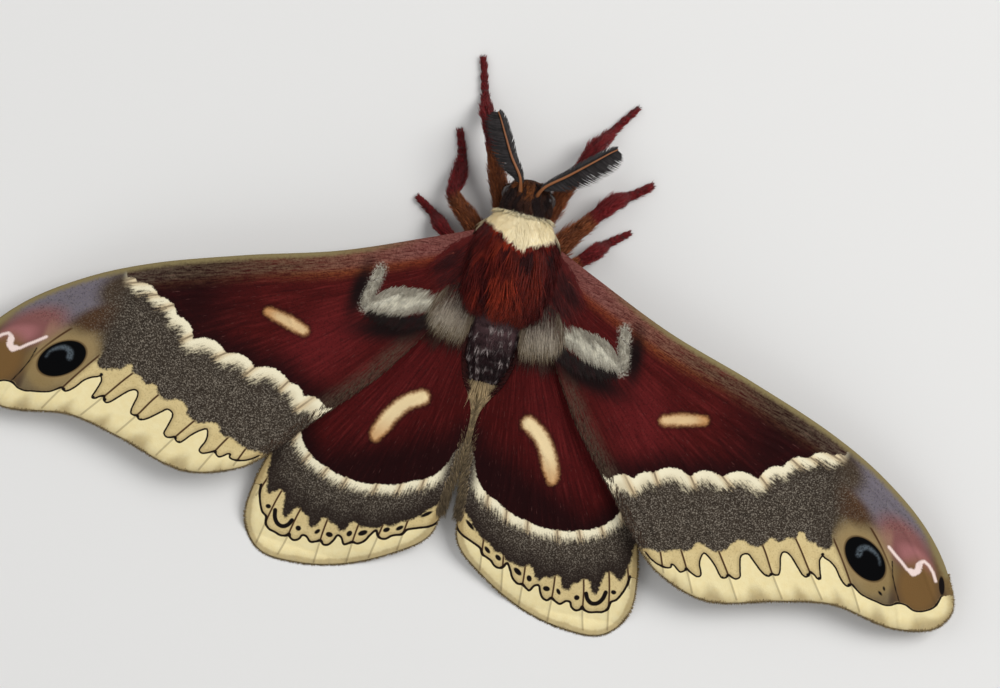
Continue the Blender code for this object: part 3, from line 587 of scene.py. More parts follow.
# Patches of (middle, half sizes, tilt, colour) laid over one another towards the wing's tip
APEX_BASE = (0.080, 0.052, 0.032)
APEX_PATCHES = (((42.4, 17.8), (6.2, 2.4), 34.0, (0.158, 0.138, 0.162)),
                ((37.0, 15.8), (2.6, 1.8), 30.0, (0.060, 0.040, 0.026)),
                ((38.4, 19.0), (3.2, 1.3), 28.0, (0.072, 0.034, 0.016)),
                ((36.8, 21.6), (1.6, 1.6), -30.0, (0.072, 0.052, 0.030)),
                ((38.8, 21.8), (1.2, 1.6), -40.0, (0.220, 0.150, 0.070)),
                ((41.6, 23.9), (3.6, 2.7), 37.0, (0.245, 0.168, 0.073)),
                ((45.0, 21.4), (3.5, 1.7), 34.0, (0.225, 0.090, 0.084)),
                ((46.6, 22.7), (2.2, 0.9), 30.0, (0.350, 0.140, 0.138)),
                ((47.4, 25.4), (2.8, 2.1), 62.0, (0.180, 0.098, 0.034)),
                ((43.4, 25.6), (1.2, 1.8), 40.0, (0.200, 0.130, 0.050)))
COSTA_FROST = ((0.0, (0.250, 0.085, 0.075)), (9.0, (0.330, 0.140, 0.115)),
               (15.0, (0.300, 0.140, 0.095)), (21.0, (0.190, 0.120, 0.070)),
               (30.0, (0.190, 0.140, 0.085)), (40.0, (0.230, 0.190, 0.140)))
COSTA_RUST = ((0.0, (0.170, 0.020, 0.014)), (9.0, (0.300, 0.070, 0.022)),
              (16.0, (0.320, 0.095, 0.028)), (24.0, (0.120, 0.050, 0.022)),
              (40.0, (0.100, 0.060, 0.030)))

MARGIN_BROWN = (0.076, 0.050, 0.034)


def scallops(corners, bulge):
    """A line of arcs from corner to corner, each bulging to its right by a share of its length."""
    corners = np.array(corners)
    share = np.linspace(0, 1, 12, endpoint=False)[:, None]
    arcs = []
    for start, end in zip(corners[:-1], corners[1:]):
        run = end - start
        out = np.array((run[1], -run[0]))
        arcs.append(start + share * run + 4 * bulge * share * (1 - share) * -out)
    return np.vstack(arcs + [corners[-1:]])


def streaks(spots, centre):
    """Coordinates in which noise makes streaks that run out from the wing's base."""
    x, a = (spots - centre).T
    angle = np.arctan2(a, x)
    return np.column_stack((angle / 0.014, np.hypot(x, a) / 5.0, np.zeros(len(x))))


def shaded(x, stops):
    """Colour along x from named stops."""
    places = [stop[0] for stop in stops]
    return np.column_stack([np.interp(x, places, [stop[1][i] for stop in stops])
                            for i in range(3)])


def ovals(spots, places):
    """About how far spots are from the nearest of some ovals."""
    return np.min([(ellipse(spots, (x, a), (long, wide), tilt) - 1) * wide
                   for x, a, long, wide, tilt in places], axis=0)


def layered(spots, base, patches):
    """Colour of overlaid soft patches."""
    colour = np.tile(base, (len(spots), 1))
    for centre, radii, tilt, paint in patches:
        share = spot_mask(spots, centre, radii, tilt, 0.4)[:, None]
        colour = colour * (1 - share) + np.array(paint) * share
    return colour


def forewing_marks(spots, outline):
    x, a = spots.T
    rim = distance(spots, outline)
    costal = distance(spots, smooth_line((FOREWING_ROOT[-1], *FOREWING_OUTLINE[:7]), 0.3))
    distal = signed(spots, scallops(BAND_NOTCHES, BAND_BULGE), BAND_REST)
    cream = signed(spots, smooth_line(TERMINAL_EDGE), TERMINAL_REST)
    outer = signed(spots, smooth_line(WAVY_LINE, 0.12), WAVY_REST)
    spot = distance(spots, smooth_line(CELL_SPOT))
    spot -= np.interp(x, (18.0, 20.0, 22.8), (0.45, 0.62, 0.42))
    base_arm = distance(spots, smooth_line(BASE_ARM, 0.4)) - 0.35
    base_lobe = distance(spots, smooth_line(BASE_LOBE, 0.4)) - 0.6
    patch = 1 - fade(np.minimum(base_arm, base_lobe), -0.5, 0.9)
    # painted shadow, nearly black, below the basal hair lobe and beside the arm of pale hair
    shade = np.maximum.reduce((
        spot_mask(spots, (14.1, 9.8), (0.9, 2.8), -6.0, 0.7),
        spot_mask(spots, (10.2, 12.9), (4.0, 1.2), 12.0, 0.7)))
    inner = fade(costal, 1.5, 2.3)[:, None]
    frost = (1 - fade(costal, 1.8, 3.2)) * (0.75 - 0.30 * fade(x, 20, 30))
    frost_colour = shaded(x, COSTA_FROST) * (1 - inner) + shaded(x, COSTA_RUST) * inner
    margin = distance(spots, smooth_line(FOREWING_OUTLINE[14:18], 0.3))
    brown = 0.95 * (1 - fade(margin, 0.7, 2.2)) * fade(x, 6.0, 9.0)
    frost_colour = np.where((brown > frost)[:, None], MARGIN_BROWN, frost_colour)
    soft = fade(0.81 * (x - 38.35) - 0.58 * (a - 23.2), -0.5, 0.3)
    knots = [np.hypot(x - knot_x, a - knot_a) - size for knot_x, knot_a, size in KNOTS]
    return {
        "hind": np.zeros(len(x)), "rim": rim, "costal": costal, "distal": distal,
        "band_width": np.interp(x, (14, 17, 19, 30, 37), (1.7, 1.6, 1.2, 1.15, 0.8)),
        "band_here": 1 - fade(x, 36.2, 37.6), "cream": cream, "outer": outer,
        "spot": spot, "spot_end": 0.35 + 0.45 * fade(x, 21.2, 22.4),
        "patch": patch, "shade": shade, "costal_line": fade(x, 8, 20), "soft": soft,
        # sheen: painted sheen, lighter red where the scales catch the light
        "sheen": 0.65 * spot_mask(spots, (16.5, 16.0), (5.0, 2.6), 50.0, 0.9),
        "dark": np.maximum(0.80 * fade(x, 22, 30) * fade(-distal, -0.2, 1.0),
                           0.85 * (1 - fade(-distal, 0.0, 3.0))),
        "frost": np.maximum(frost, brown), "frost_colour": frost_colour,
        "salt": (0.20 + 0.60 * fade(distal, 0.8, 2.5)) * (1 - 0.75 * fade(x, 34, 41)),
        "apex": fade(x - 0.25 * (a - 16), 35.6, 38.6),
        "apex_ground": np.maximum(fade(x - 0.2 * (a - 22), 42.0, 44.2), 0.85 * soft)
        * (1 - fade(outer, -0.12, 0.02)),
        "apex_colour": layered(spots, APEX_BASE, APEX_PATCHES),
        "dots": np.min((ovals(spots, (TIP_FLECK,)), *knots,
                        distance(spots, smooth_line(TIP_VEIN, 0.1)) - 0.06), axis=0),
        "gloom": 0.45 * (1 - fade(distal, 0.4, 2.0)) * (1 - fade(x, 34, 38)),
        "eye": ellipse(spots, *EYESPOT),
        "crescent": 0.8 * (1 - fade(distance(spots, smooth_line(CRESCENT, 0.1))
                                    - 0.10 * (42.2 - x), 0.0, 0.30))
        * (1 - fade(ellipse(spots, *EYESPOT), 0.80, 0.95)),
        "zigzag": 1 - fade(distance(spots, ZIGZAG) - 0.22 * spot_mask(
            spots, (46.7, 23.5), (0.6, 0.9), 0.0, 0.4), 0.07, 0.20),
        "vein_here": fade(x, 14, 18) * (1 - fade(x, 43.5, 45.0)),
        "ray": streaks(spots, (1.0, 3.0)),
    }


HIND_BAND_CORNERS = ((0.2, 21.6), (1.1, 23.4), (2.3, 26.0), (4.4, 27.2), (7.7, 28.35), (10.9, 28.5),
                     (13.0, 28.0), (15.3, 26.9), (16.5, 25.2), (16.9, 23.0), (17.5, 19.0))
HIND_BAND_REST = ((30.0, 19.0), (30.0, 45.0), (-5.0, 45.0), (-5.0, 21.0))
HIND_TERMINAL_EDGE = (
    (-1.0, 28.2), (0.8, 28.6), (1.4, 29.0), (2.05, 29.6), (2.85, 30.5), (3.8, 31.2), (4.5, 31.5),
    (5.0, 31.95), (5.4, 32.2), (6.2, 32.35), (6.65, 32.75), (7.1, 32.85), (7.9, 33.0),
    (8.6, 33.0), (8.9, 32.7), (9.5, 33.0), (9.85, 33.7), (10.35, 34.0), (10.8, 33.55),
    (11.6, 33.35), (11.95, 33.05), (12.35, 33.15), (12.8, 34.1), (13.5, 34.3), (13.85, 33.4),
    (14.3, 33.2), (14.8, 32.7), (15.3, 32.85), (15.7, 33.6), (16.0, 34.0), (16.35, 33.8),
    (16.5, 32.6), (16.65, 31.7), (17.2, 31.35), (17.9, 31.85), (18.35, 32.0), (18.55, 31.4),
    (18.7, 30.6), (18.85, 29.6), (18.8, 28.6), (19.1, 27.6), (20.5, 26.0))
HIND_TERMINAL_REST = ((30.0, 30.0), (30.0, 45.0), (-5.0, 45.0), (-5.0, 29.0))
HIND_WAVY_LINE = (
    (19.15, 31.3), (19.1, 32.1), (18.85, 33.1), (18.4, 34.0), (17.95, 34.35), (17.8, 35.1),
    (17.35, 35.55), (16.8, 35.7), (16.05, 35.9), (15.5, 35.75), (15.25, 35.5), (15.1, 35.85),
    (14.7, 36.05), (14.2, 35.8), (13.95, 35.35), (13.55, 35.35), (13.0, 35.8), (12.5, 35.65),
    (12.0, 35.4), (11.65, 35.75), (11.2, 35.65), (10.8, 35.15), (10.45, 34.45), (10.05, 34.6),
    (9.65, 35.2), (9.3, 35.05), (8.85, 34.75), (8.35, 34.8), (7.7, 34.35), (7.3, 33.65),
    (6.8, 33.0), (6.55, 33.45), (6.15, 33.7), (5.65, 33.6), (5.2, 33.2), (4.8, 33.0),
    (4.2, 32.75), (3.8, 32.2), (2.8, 31.75), (1.7, 31.3), (1.1, 30.8), (0.75, 30.1))
HIND_WAVY_REST = ((-2.0, 29.0), (-2.0, 45.0), (25.0, 45.0), (25.0, 31.8))
HIND_COMMA = ((5.5, 18.8), (6.9, 19.7), (8.1, 21.3), (9.1, 23.7))
# Black spots: (x, a, half length, half width, tilt)
HIND_SPOTS = ((1.2, 29.35, 0.24, 0.10, 45.0), (2.25, 30.15, 0.65, 0.17, 39.0),
              (4.55, 32.2, 0.42, 0.19, 40.0), (5.8, 32.7, 0.36, 0.22, 35.0),
              (8.05, 33.6, 0.50, 0.25, 33.0), (9.35, 34.0, 0.33, 0.25, 60.0),
              (11.3, 34.6, 0.36, 0.26, 0.0), (12.55, 34.6, 0.34, 0.18, 50.0),
              (14.5, 34.75, 0.28, 0.26, -20.0), (17.95, 33.3, 0.28, 0.22, 0.0))
HIND_CRESCENT = ((15.3, 34.1), (15.6, 34.65), (16.1, 34.95), (16.65, 34.8), (17.05, 34.25),
                 (17.2, 33.5))


def hindwing_marks(spots, outline):
    x, a = spots.T
    ones = np.ones(len(x))
    distal = signed(spots, scallops(HIND_BAND_CORNERS, 0.07), HIND_BAND_REST)
    cream = signed(spots, smooth_line(HIND_TERMINAL_EDGE, 0.12), HIND_TERMINAL_REST)
    comma = distance(spots, smooth_line(HIND_COMMA))
    comma -= np.interp(a, (19.0, 21.5, 22.8, 23.8), (0.74, 0.78, 0.80, 0.52))
    dots = [ovals(spots, HIND_SPOTS), distance(spots, smooth_line(HIND_CRESCENT, 0.1)) - 0.21]
    marks = dict.fromkeys(("costal_line", "patch", "soft", "shade", "frost", "apex",
                           "apex_ground", "crescent", "zigzag"), 0 * ones)
    marks.update(dict.fromkeys(("frost_colour", "apex_colour"), np.zeros((len(x), 3))))
    marks.update({
        "hind": ones, "rim": distance(spots, outline), "costal": 9 * ones, "distal": distal,
        "band_width": 0.85 * ones, "band_here": fade(x, 1.0, 2.4), "cream": cream,
        "gloom": 0.85 * (1 - fade(-cream, 0.2, 2.6)),
        "outer": signed(spots, smooth_line(HIND_WAVY_LINE, 0.1), HIND_WAVY_REST),
        "vein_here": ones, "spot": comma, "spot_end": 0.65 * fade(a, 21.0, 24.0),
        # sheen: painted sheen, lighter red where the scales catch the light
        "sheen": 0.35 * spot_mask(spots, (9.5, 18.0), (4.0, 6.0), -30.0, 0.9),
        "dark": 0.85 * np.maximum(1 - fade(-distal, 0.0, 3.0), fade(a - 0.4 * x, 18.5, 23.0)),
        "salt": 0.10 + 0.60 * fade(-cream, 0.1, 2.4), "dots": np.min(dots, axis=0),
        "eye": 9 * ones, "ray": streaks(spots, (1.0, 4.0)),
    })
    return marks


def wings():
    material = wing_material()
    outline = wing_outline(FOREWING_ROOT, FOREWING_OUTLINE)
    band = scallops(BAND_NOTCHES, BAND_BULGE)
    net = wing_net(outline, FOREWING_VEINS, lambda spots: np.where(
        (spots[:, 1] > 24.0 + np.clip(0.6 * (34.0 - spots[:, 0]), -3.0, 3.2)), 2, np.where(
            (spots[:, 0] > 36.0) | (distance(spots, band) < 1.6), 1, 0)))
    marks = forewing_marks(net[0], outline)
    for label, side in SIDES:
        dots = marks["dots"]
        if side == RIGHT:
            dots = np.minimum(dots, ovals(net[0], FLECKS))
        wing(f"forewing_{label}_skin", side, net, forewing_height, dict(marks, dots=dots),
             FOREWING_VEINS, material)
    outline = wing_outline(HINDWING_ROOT, HINDWING_OUTLINE)
    net = wing_net(outline, HINDWING_VEINS,
                   lambda spots: np.where(spots[:, 1] > 31.4 - 0.35 * np.abs(spots[:, 0] - 9.0), 2,
                                          np.where(spots[:, 1] > 25.0, 1, 0)))
    marks = hindwing_marks(net[0], outline)
    for label, side in SIDES:
        wing(f"hindwing_{label}_skin", side, net, hindwing_height, marks, HINDWING_VEINS,
             material)


# Tufts: rings of (share of the length, share of the width), three corners each, and a tip
LONG_RINGS = ((0.0, 0.8), (0.35, 1.0), (0.7, 0.62))
SHORT_RINGS = ((0.0, 0.85), (0.5, 0.85))
PATCH = 0.003
# tips are painted lighter than their own colour: painted light
TIP_GLOW, BRIGHTEST = 1.15, 0.95    # a tuft's tip against its own colour, and the most it may be
WING_REACH, WING_DEPTH = 52, 40     # the wings' unwrap, for the bake map


def unit(vectors):
    return vectors / np.maximum(np.linalg.norm(vectors, axis=-1, keepdims=True), 1e-9)


def even(count, *ranges):
    """Evenly scattered values, one column for each range."""
    ratios = (0.7548776662, 0.5698402909)
    number = np.arange(1, count + 1)
    return [low + (high - low) * ((number * ratio + 0.5) % 1.0)
            for ratio, (low, high) in zip(ratios, ranges)]


def unwrap(across, along):
    """Places on the bake map's unwrap of a skin, from shares of its two sides."""
    return np.column_stack((0.02 + 0.95 * across, 0.02 + 0.95 * along))


def tuft_points(roots, ups, lies, lengths, widths, lift, sag=0.25, curl=0.0, flat=0.7,
                rings=SHORT_RINGS, sink=0.08):
    """Corners of thin tufts that rise from a surface and bend back along it."""
    lies = unit(lies - ups * (lies * ups).sum(axis=1, keepdims=True))
    across = np.cross(lies, ups)
    lengths, widths, lift, sag, curl = (
        np.broadcast_to(value, len(roots))[:, None] for value in (lengths, widths, lift, sag, curl))
    start = lies * np.cos(lift) + ups * np.sin(lift)

    def spine(share):
        bend = share**2 * (curl * across - sag * ups)
        return roots - sink * ups + lengths * (share * start + bend)

    corners = []
    for share, breadth in rings:
        for corner in range(3):
            turn = 2 * math.pi * corner / 3
            rim = across * math.cos(turn) + flat * ups * math.sin(turn)
            corners.append(spine(share) + 0.5 * breadth * widths * rim)
    corners.append(spine(1.0))
    return np.stack(corners, axis=1)


def tuft_faces(rings):
    """Triangles of one tuft: a closed root, sides and a pointed tip."""
    faces = [(0, 2, 1)]
    for ring in range(rings - 1):
        for corner in range(3):
            low, high = 3 * ring + corner, 3 * ring + (corner + 1) % 3
            faces += [(low, high, low + 3), (high, high + 3, low + 3)]
    last = 3 * (rings - 1)
    faces += [(last + corner, last + (corner + 1) % 3, last + 3) for corner in range(3)]
    return np.array(faces)


def mirrored(points, side):
    """Tufts built for the right, turned over for the left with their faces still outward."""
    if side == RIGHT:
        return points
    rings = points.shape[1] // 3
    order = [3 * ring + corner for ring in range(rings) for corner in (0, 2, 1)]
    return points[:, order + [3 * rings]] * (-1, 1, 1)


def coat(name, points, tints, patches, material, slot, root_shade=0.45, smooth=True):
    """Many tufts as one mesh: colour on the points, a small patch each in the bake map."""
    count, each = points.shape[:2]
    rings = SHORT_RINGS if each == 3 * len(SHORT_RINGS) + 1 else LONG_RINGS
    faces = tuft_faces(len(rings))[None] + each * np.arange(count)[:, None, None]
    triangles = faces.reshape(-1, 3)
    flat = points.reshape(-1, 3)
    piece = mesh_object(name, place(*flat.T), triangles, material, smooth)
    shares = np.array([share for share, _ in rings for _ in range(3)] + [1.0])
    # painted shade at each tuft's root, painted light at its tip
    glow = root_shade + (TIP_GLOW - root_shade) * np.minimum(shares / 0.7, 1.0)
    tints = tints[:, None] * glow[None, :, None]
    tints = tints / np.maximum(tints.max(axis=2, keepdims=True) / BRIGHTEST, 1.0)
    mark(piece.data, "tint", tints.reshape(-1, 3))
    corners = np.array([corner / 2 for _ in rings for corner in range(3)] + [0.5])
    spread = patches[:, None] + PATCH * np.stack((corners, shares), axis=1)[None]
    layer = piece.data.uv_layers.new(name="OFBake")
    layer.data.foreach_set("uv", spread.reshape(-1, 2)[triangles.ravel()].astype(np.float32).ravel())
    settle(piece, slot)


def hair_material(name, roughness=0.60, sheen=0.03, shade=0.30):
    """Hair: the tint on its points, a little darker here and there along it."""
    net = Net(name)
    vary = net.math("MULTIPLY", net.fade(net.noise(0.4, 2.0, 0.6), 0.40, 0.75), shade)
    colour = net.mix(vary, net.colour("tint"), (0.0, 0.0, 0.0))
    net.shader.inputs["Sheen Weight"].default_value = sheen
    net.shader.inputs["Specular IOR Level"].default_value = 0.12
    return net.finish(colour, roughness)


def tube_faces(length, around):
    """Triangles of rings of points along a tube, then a point at each of its ends."""
    grid = np.arange(length * around).reshape(length, around)
    right = np.roll(grid, -1, axis=1)
    first, second, third, fourth = (part.ravel() for part in (grid[:-1], right[:-1], right[1:],
                                                              grid[1:]))
    nose, tail = length * around, length * around + 1
    return np.vstack((
        np.column_stack((first, second, third)), np.column_stack((first, third, fourth)),
        np.column_stack((np.full(around, nose), right[0], grid[0])),
        np.column_stack((np.full(around, tail), grid[-1], right[-1]))))


BODY_LINE = smooth_line(BODY, 0.05)
BODY_AROUND = 72
BODY_UNWRAP = (-5.0, 22.5)          # start and length, for the bake map


def body_spot(a, angle):
    """A place on the core, at an angle that runs from the moth's right over its back."""
    half, axis, high = (np.interp(a, BODY_LINE[:, 0], BODY_LINE[:, k]) for k in (1, 2, 3))
    return np.stack((half * np.cos(angle), a * np.ones_like(angle), axis + high * np.sin(angle)),
                    axis=-1)


def body_frame(a, angle):
    """Places on the core with their outward, tailward and sideways directions."""
    spots = body_spot(a, angle)
    tailward = unit(body_spot(a + 0.1, angle) - body_spot(a - 0.1, angle))
    round_it = unit(body_spot(a, angle + 0.02) - body_spot(a, angle - 0.02))
    return spots, unit(np.cross(tailward, round_it)), tailward, round_it


def lumps(a, angle, seed):
    """Smooth variation over the body, about -1 to 1."""
    return (np.sin(2.3 * a + 3.1 * angle + seed) * np.sin(5.3 * angle - 0.9 * a + 2.1 * seed)
            + 0.5 * np.sin(9.7 * angle + 1.7 * a + 3.3 * seed))


def gathered(along, across, count):
    """Lock of each tuft: how far it stands aside from the lock's middle, and the lock's tone."""
    middles = RNG.uniform((along.min(), across.min()), (along.max(), across.max()), (count, 2))
    tones = RNG.uniform(-1, 1, count)
    apart = ((along[:, None] - middles[:, 0]) / 2.2)**2 + (across[:, None] - middles[:, 1])**2
    nearest = apart.argmin(axis=1)
    return across - middles[nearest, 1], tones[nearest]


def mixed(first, second, share):
    share = np.clip(share, 0.0, 1.0)[:, None]
    return np.asarray(first) * (1 - share) + np.asarray(second) * share


# Linear colours of the hair
CREAM = (0.95, 0.84, 0.57)
CREAM_SHADE = (0.92, 0.74, 0.40)
MAROON = (0.100, 0.0070, 0.0055)
DARK_MAROON = (0.024, 0.0024, 0.0026)
RUST = (0.250, 0.026, 0.009)
HEAD_BROWN = (0.100, 0.036, 0.018)
BROW_ORANGE = (0.300, 0.095, 0.026)
HEAD_DARK = (0.026, 0.014, 0.013)
ABDOMEN_DARK = (0.018, 0.0055, 0.0065)
ABDOMEN_MAUVE = (0.120, 0.062, 0.066)
ABDOMEN_PALE = (0.46, 0.38, 0.36)
GREY_HAIR = (0.270, 0.240, 0.185)
PALE_HAIR = (0.760, 0.720, 0.580)
FAN_PALE = (0.420, 0.360, 0.280)
OLIVE_HAIR = (0.150, 0.110, 0.066)
TAN_HAIR = (0.56, 0.41, 0.22)
LEG_ORANGE = (0.240, 0.072, 0.026)
LEG_RED = (0.185, 0.0155, 0.0170)
COMB_GREY = (0.030, 0.026, 0.026)
SHAFT_ORANGE = (0.270, 0.095, 0.022)
# The cream patch on the collar, (x, a) seen from above
COLLAR_PATCH = ((-4.6, -2.4), (-4.6, -0.8), (-3.4, -0.15), (-1.6, 1.0), (0.4, 2.15),
                (3.0, 0.75), (3.7, -0.7), (3.6, -2.4))
RING_PLACES = (10.3, 11.4, 12.5, 13.5, 14.5, 15.5, 16.4)


def beyond_collar(x, a):
    """Distance from the collar's cream patch, negative within it."""
    spots = np.column_stack((x, a))
    return distance(spots, COLLAR_PATCH) * np.where(inside(spots, COLLAR_PATCH), -1, 1)


def body_tint(x, a, angle, tone):
    # rust along the top of the thorax's middle is the hair's own colour with a painted highlight
    # where light falls on top; the sides are painted darker as shade
    """Colour of the coat at places on the body, with each lock's own tone from -1 to 1."""
    top = fade(np.sin(angle), -0.2, 0.5)
    glow = fade(np.abs(x), 3.6, 1.2) * top
    thorax = mixed(MAROON, RUST, glow * (0.38 + 0.75 * tone))
    thorax = mixed(thorax, DARK_MAROON, 0.80 * fade(-tone, -0.1, 1.0)
                   + 0.30 * fade(np.abs(x), 2.2, 4.2) + 0.3 * fade(a, 7.5, 9.5))
    spots = np.column_stack((x, a))
    cream = (1 - fade(beyond_collar(x, a), -0.10, 0.10)) * fade(np.sin(angle), 0.0, 0.3)
    neck = fade(a, -1.75, -1.4) * (1 - fade(a, -0.7, -0.2)) * (1 - fade(np.sin(angle), -0.1, 0.4))
    pale = mixed(CREAM, CREAM_SHADE, 0.45 * fade(-x, 0.0, 2.5) + 0.25 * fade(-tone, 0.3, 1.0))
    tint = mixed(thorax, pale, np.maximum(cream, neck))
    head = mixed(HEAD_DARK, HEAD_BROWN, 0.5 + 0.5 * tone - 0.5 * fade(np.abs(x), 1.2, 2.2))
    brow = (1 - fade(np.hypot(np.abs(x) - 0.8, a + 3.9), 0.5, 1.3)) * fade(tone, -0.5, 0.4) * top
    head = mixed(head, BROW_ORANGE, brow)
    tint = mixed(head, tint, fade(a, -1.75, -1.45))
    ring = np.min([np.abs(a - ring) for ring in RING_PLACES], axis=0)
    ground = mixed(ABDOMEN_DARK, ABDOMEN_MAUVE, (1 - fade(a, 10.5, 13.0)) * (0.75 + 0.4 * tone)
                   + 0.25 * fade(tone, 0.2, 1.0))
    abdomen = mixed(ground, ABDOMEN_PALE,
                    (1 - fade(ring, 0.10, 0.36)) * fade(lumps(a, 1.7 * angle, 2.0) + 0.5 * tone,
                                                        -0.2, 1.2))
    abdomen = mixed(abdomen, TAN_HAIR, fade(a, 16.2, 16.7))
    return mixed(tint, abdomen, fade(a, 8.9, 9.5))


def body_skin():
    """One skin over head, collar, thorax and abdomen, under the coat."""
    length = len(BODY_LINE) // 2
    a = np.interp(np.linspace(0, 1, length), np.linspace(0, 1, len(BODY_LINE)), BODY_LINE[:, 0])
    angle = np.linspace(0, 2 * math.pi, BODY_AROUND, endpoint=False)
    a, angle = (values.ravel() for values in np.meshgrid(a, angle, indexing="ij"))
    spots = body_spot(a, angle)
    groove = 0.05 * (np.cos(2 * math.pi * (a - 10.3) / 1.02) + 1) * fade(a, 9, 10)
    spots[:, 2] -= groove * np.sin(angle)
    ends = body_spot(np.array((BODY_LINE[0, 0], BODY_LINE[-1, 0])), np.array((0.0, 0.0)))
    ends[:, 0] = 0.0
    flat = np.vstack((spots, ends))
    net = Net("body_skin")
    shade = net.math("MULTIPLY", net.fade(net.noise(0.35, 3.0, 0.6), 0.35, 0.7), 0.2)
    colour = net.mix(shade, net.colour("tint"), (0.0, 0.0, 0.0))
    net.shader.inputs["Specular IOR Level"].default_value = 0.15
    material = net.finish(colour, 0.85, net.noise(0.22, 3.0, 0.7), 0.10, 0.7)
    piece = mesh_object("body_skin", place(*flat.T), tube_faces(length, BODY_AROUND), material)
    tint = body_tint(flat[:, 0], flat[:, 1], np.append(angle, (0.0, 0.0)), np.zeros(len(flat)))
    bright = fade(tint.sum(axis=1), 0.5, 1.5)[:, None]
    mark(piece.data, "tint", (0.7 + 0.3 * bright) * tint)
    settle(piece, "red_fur", "head", "collar", "thorax", "abdomen")


def body_coat(name, count, a_range, angle_range, length, width, lift, slot, material,
              sag=0.25, sway=0.30, spread=0.15, locks=60, pull=0.5, root_shade=0.45, vary=0.30,
              ahead=0.0, clear=None, rings=SHORT_RINGS, flat=0.7, smooth=True):
    """Hair over a stretch of the body, leaning tailward in locks that part and meet."""
    a, angle = even(count, a_range, [math.radians(value) for value in angle_range])
    a = a + RNG.normal(0, 0.05, count)
    angle = angle + RNG.normal(0, 0.012, count)
    if clear is not None:
        kept = clear(body_spot(a, angle)[:, 0], a, angle)
        a, angle = a[kept], angle[kept]
        count = len(a)
    spots, ups, tailward, round_it = body_frame(a, angle)
    half = np.interp(a, BODY_LINE[:, 0], BODY_LINE[:, 1])
    aside, tone = gathered(a, 3.5 * angle, locks)
    lengths = length(a, angle) * RNG.uniform(0.75, 1.15, count) * (1 + 0.12 * tone)
    side = (sway * lumps(a, angle, 0.0) + RNG.normal(0, 0.07, count) - spread * np.cos(angle)
            - pull * aside * half / 3.5 / lengths)
    lies = tailward + round_it * side[:, None]
    lifts = lift + RNG.normal(0, 0.06, count) + 0.08 * tone
    points = tuft_points(spots, ups, lies, lengths, width * RNG.uniform(0.7, 1.2, count),
                         lifts, sag, RNG.normal(0, 0.05, count), flat, rings)
    tints = body_tint(spots[:, 0], a + ahead * lengths, angle, tone)
    tints = tints * RNG.uniform(1 - vary, 1 + vary, count)[:, None]
    patches = unwrap((angle / (2 * math.pi)) % 1.0, (a - BODY_UNWRAP[0]) / BODY_UNWRAP[1])
    coat(name, points, tints, patches, material, slot, root_shade, smooth)


def body_coats():
    hair = hair_material("body_hair")
    plush = hair_material("collar_hair", 0.9, 0.0, 0.03)
    body_coat("thorax_hair", 12600, (-0.6, 7.9), (-30, 210),
              lambda a, angle: 2.6 + 1.0 * fade(a, 1, 4) - 1.3 * fade(a, 5, 8), 0.095,
              0.27, "red_fur", hair, locks=110, pull=1.0, sway=0.22, rings=LONG_RINGS,
              clear=lambda x, a, angle: (beyond_collar(x, a) > 0.15) | (np.sin(angle) < 0.2))
    body_coat("belly_hair", 2500, (-0.7, 8.9), (205, 335), lambda a, angle: np.full(len(a), 1.6),
              0.13, 0.20, "red_fur", hair)
    body_coat("collar_hair", 9500, (-1.6, 1.9), (-20, 200),
              lambda a, angle: 0.85 + 0.20 * np.sin(angle), 0.14,
              0.11, "cream_fur", plush, sway=0.15, sag=0.02, locks=90, pull=0.35,
              root_shade=1.15, vary=0.06, ahead=0.50, flat=0.22, smooth=False)
    body_coat("head_hair", 7000, (-4.75, -1.2), (0, 360),
              lambda a, angle: 0.95 + 0.5 * fade(a, -4, -2), 0.075, 0.85, "dark_fur", hair,
              sag=0.45, sway=0.8, locks=60, pull=1.0)
    body_coat("abdomen_hair", 9500, (8.4, 17.0), (0, 360),
              lambda a, angle: 0.85 + 0.5 * fade(a, 15.5, 17.0), 0.085, 0.28, "abdomen_fur",
              hair, locks=110)
    body_coat("tail_hair", 900, (15.8, 16.9), (25, 155), lambda a, angle: np.full(len(a), 2.6),
              0.085, 0.85, "abdomen_fur", hair, sag=0.02, sway=0.05, spread=0.35, ahead=0.5,
              root_shade=0.7)


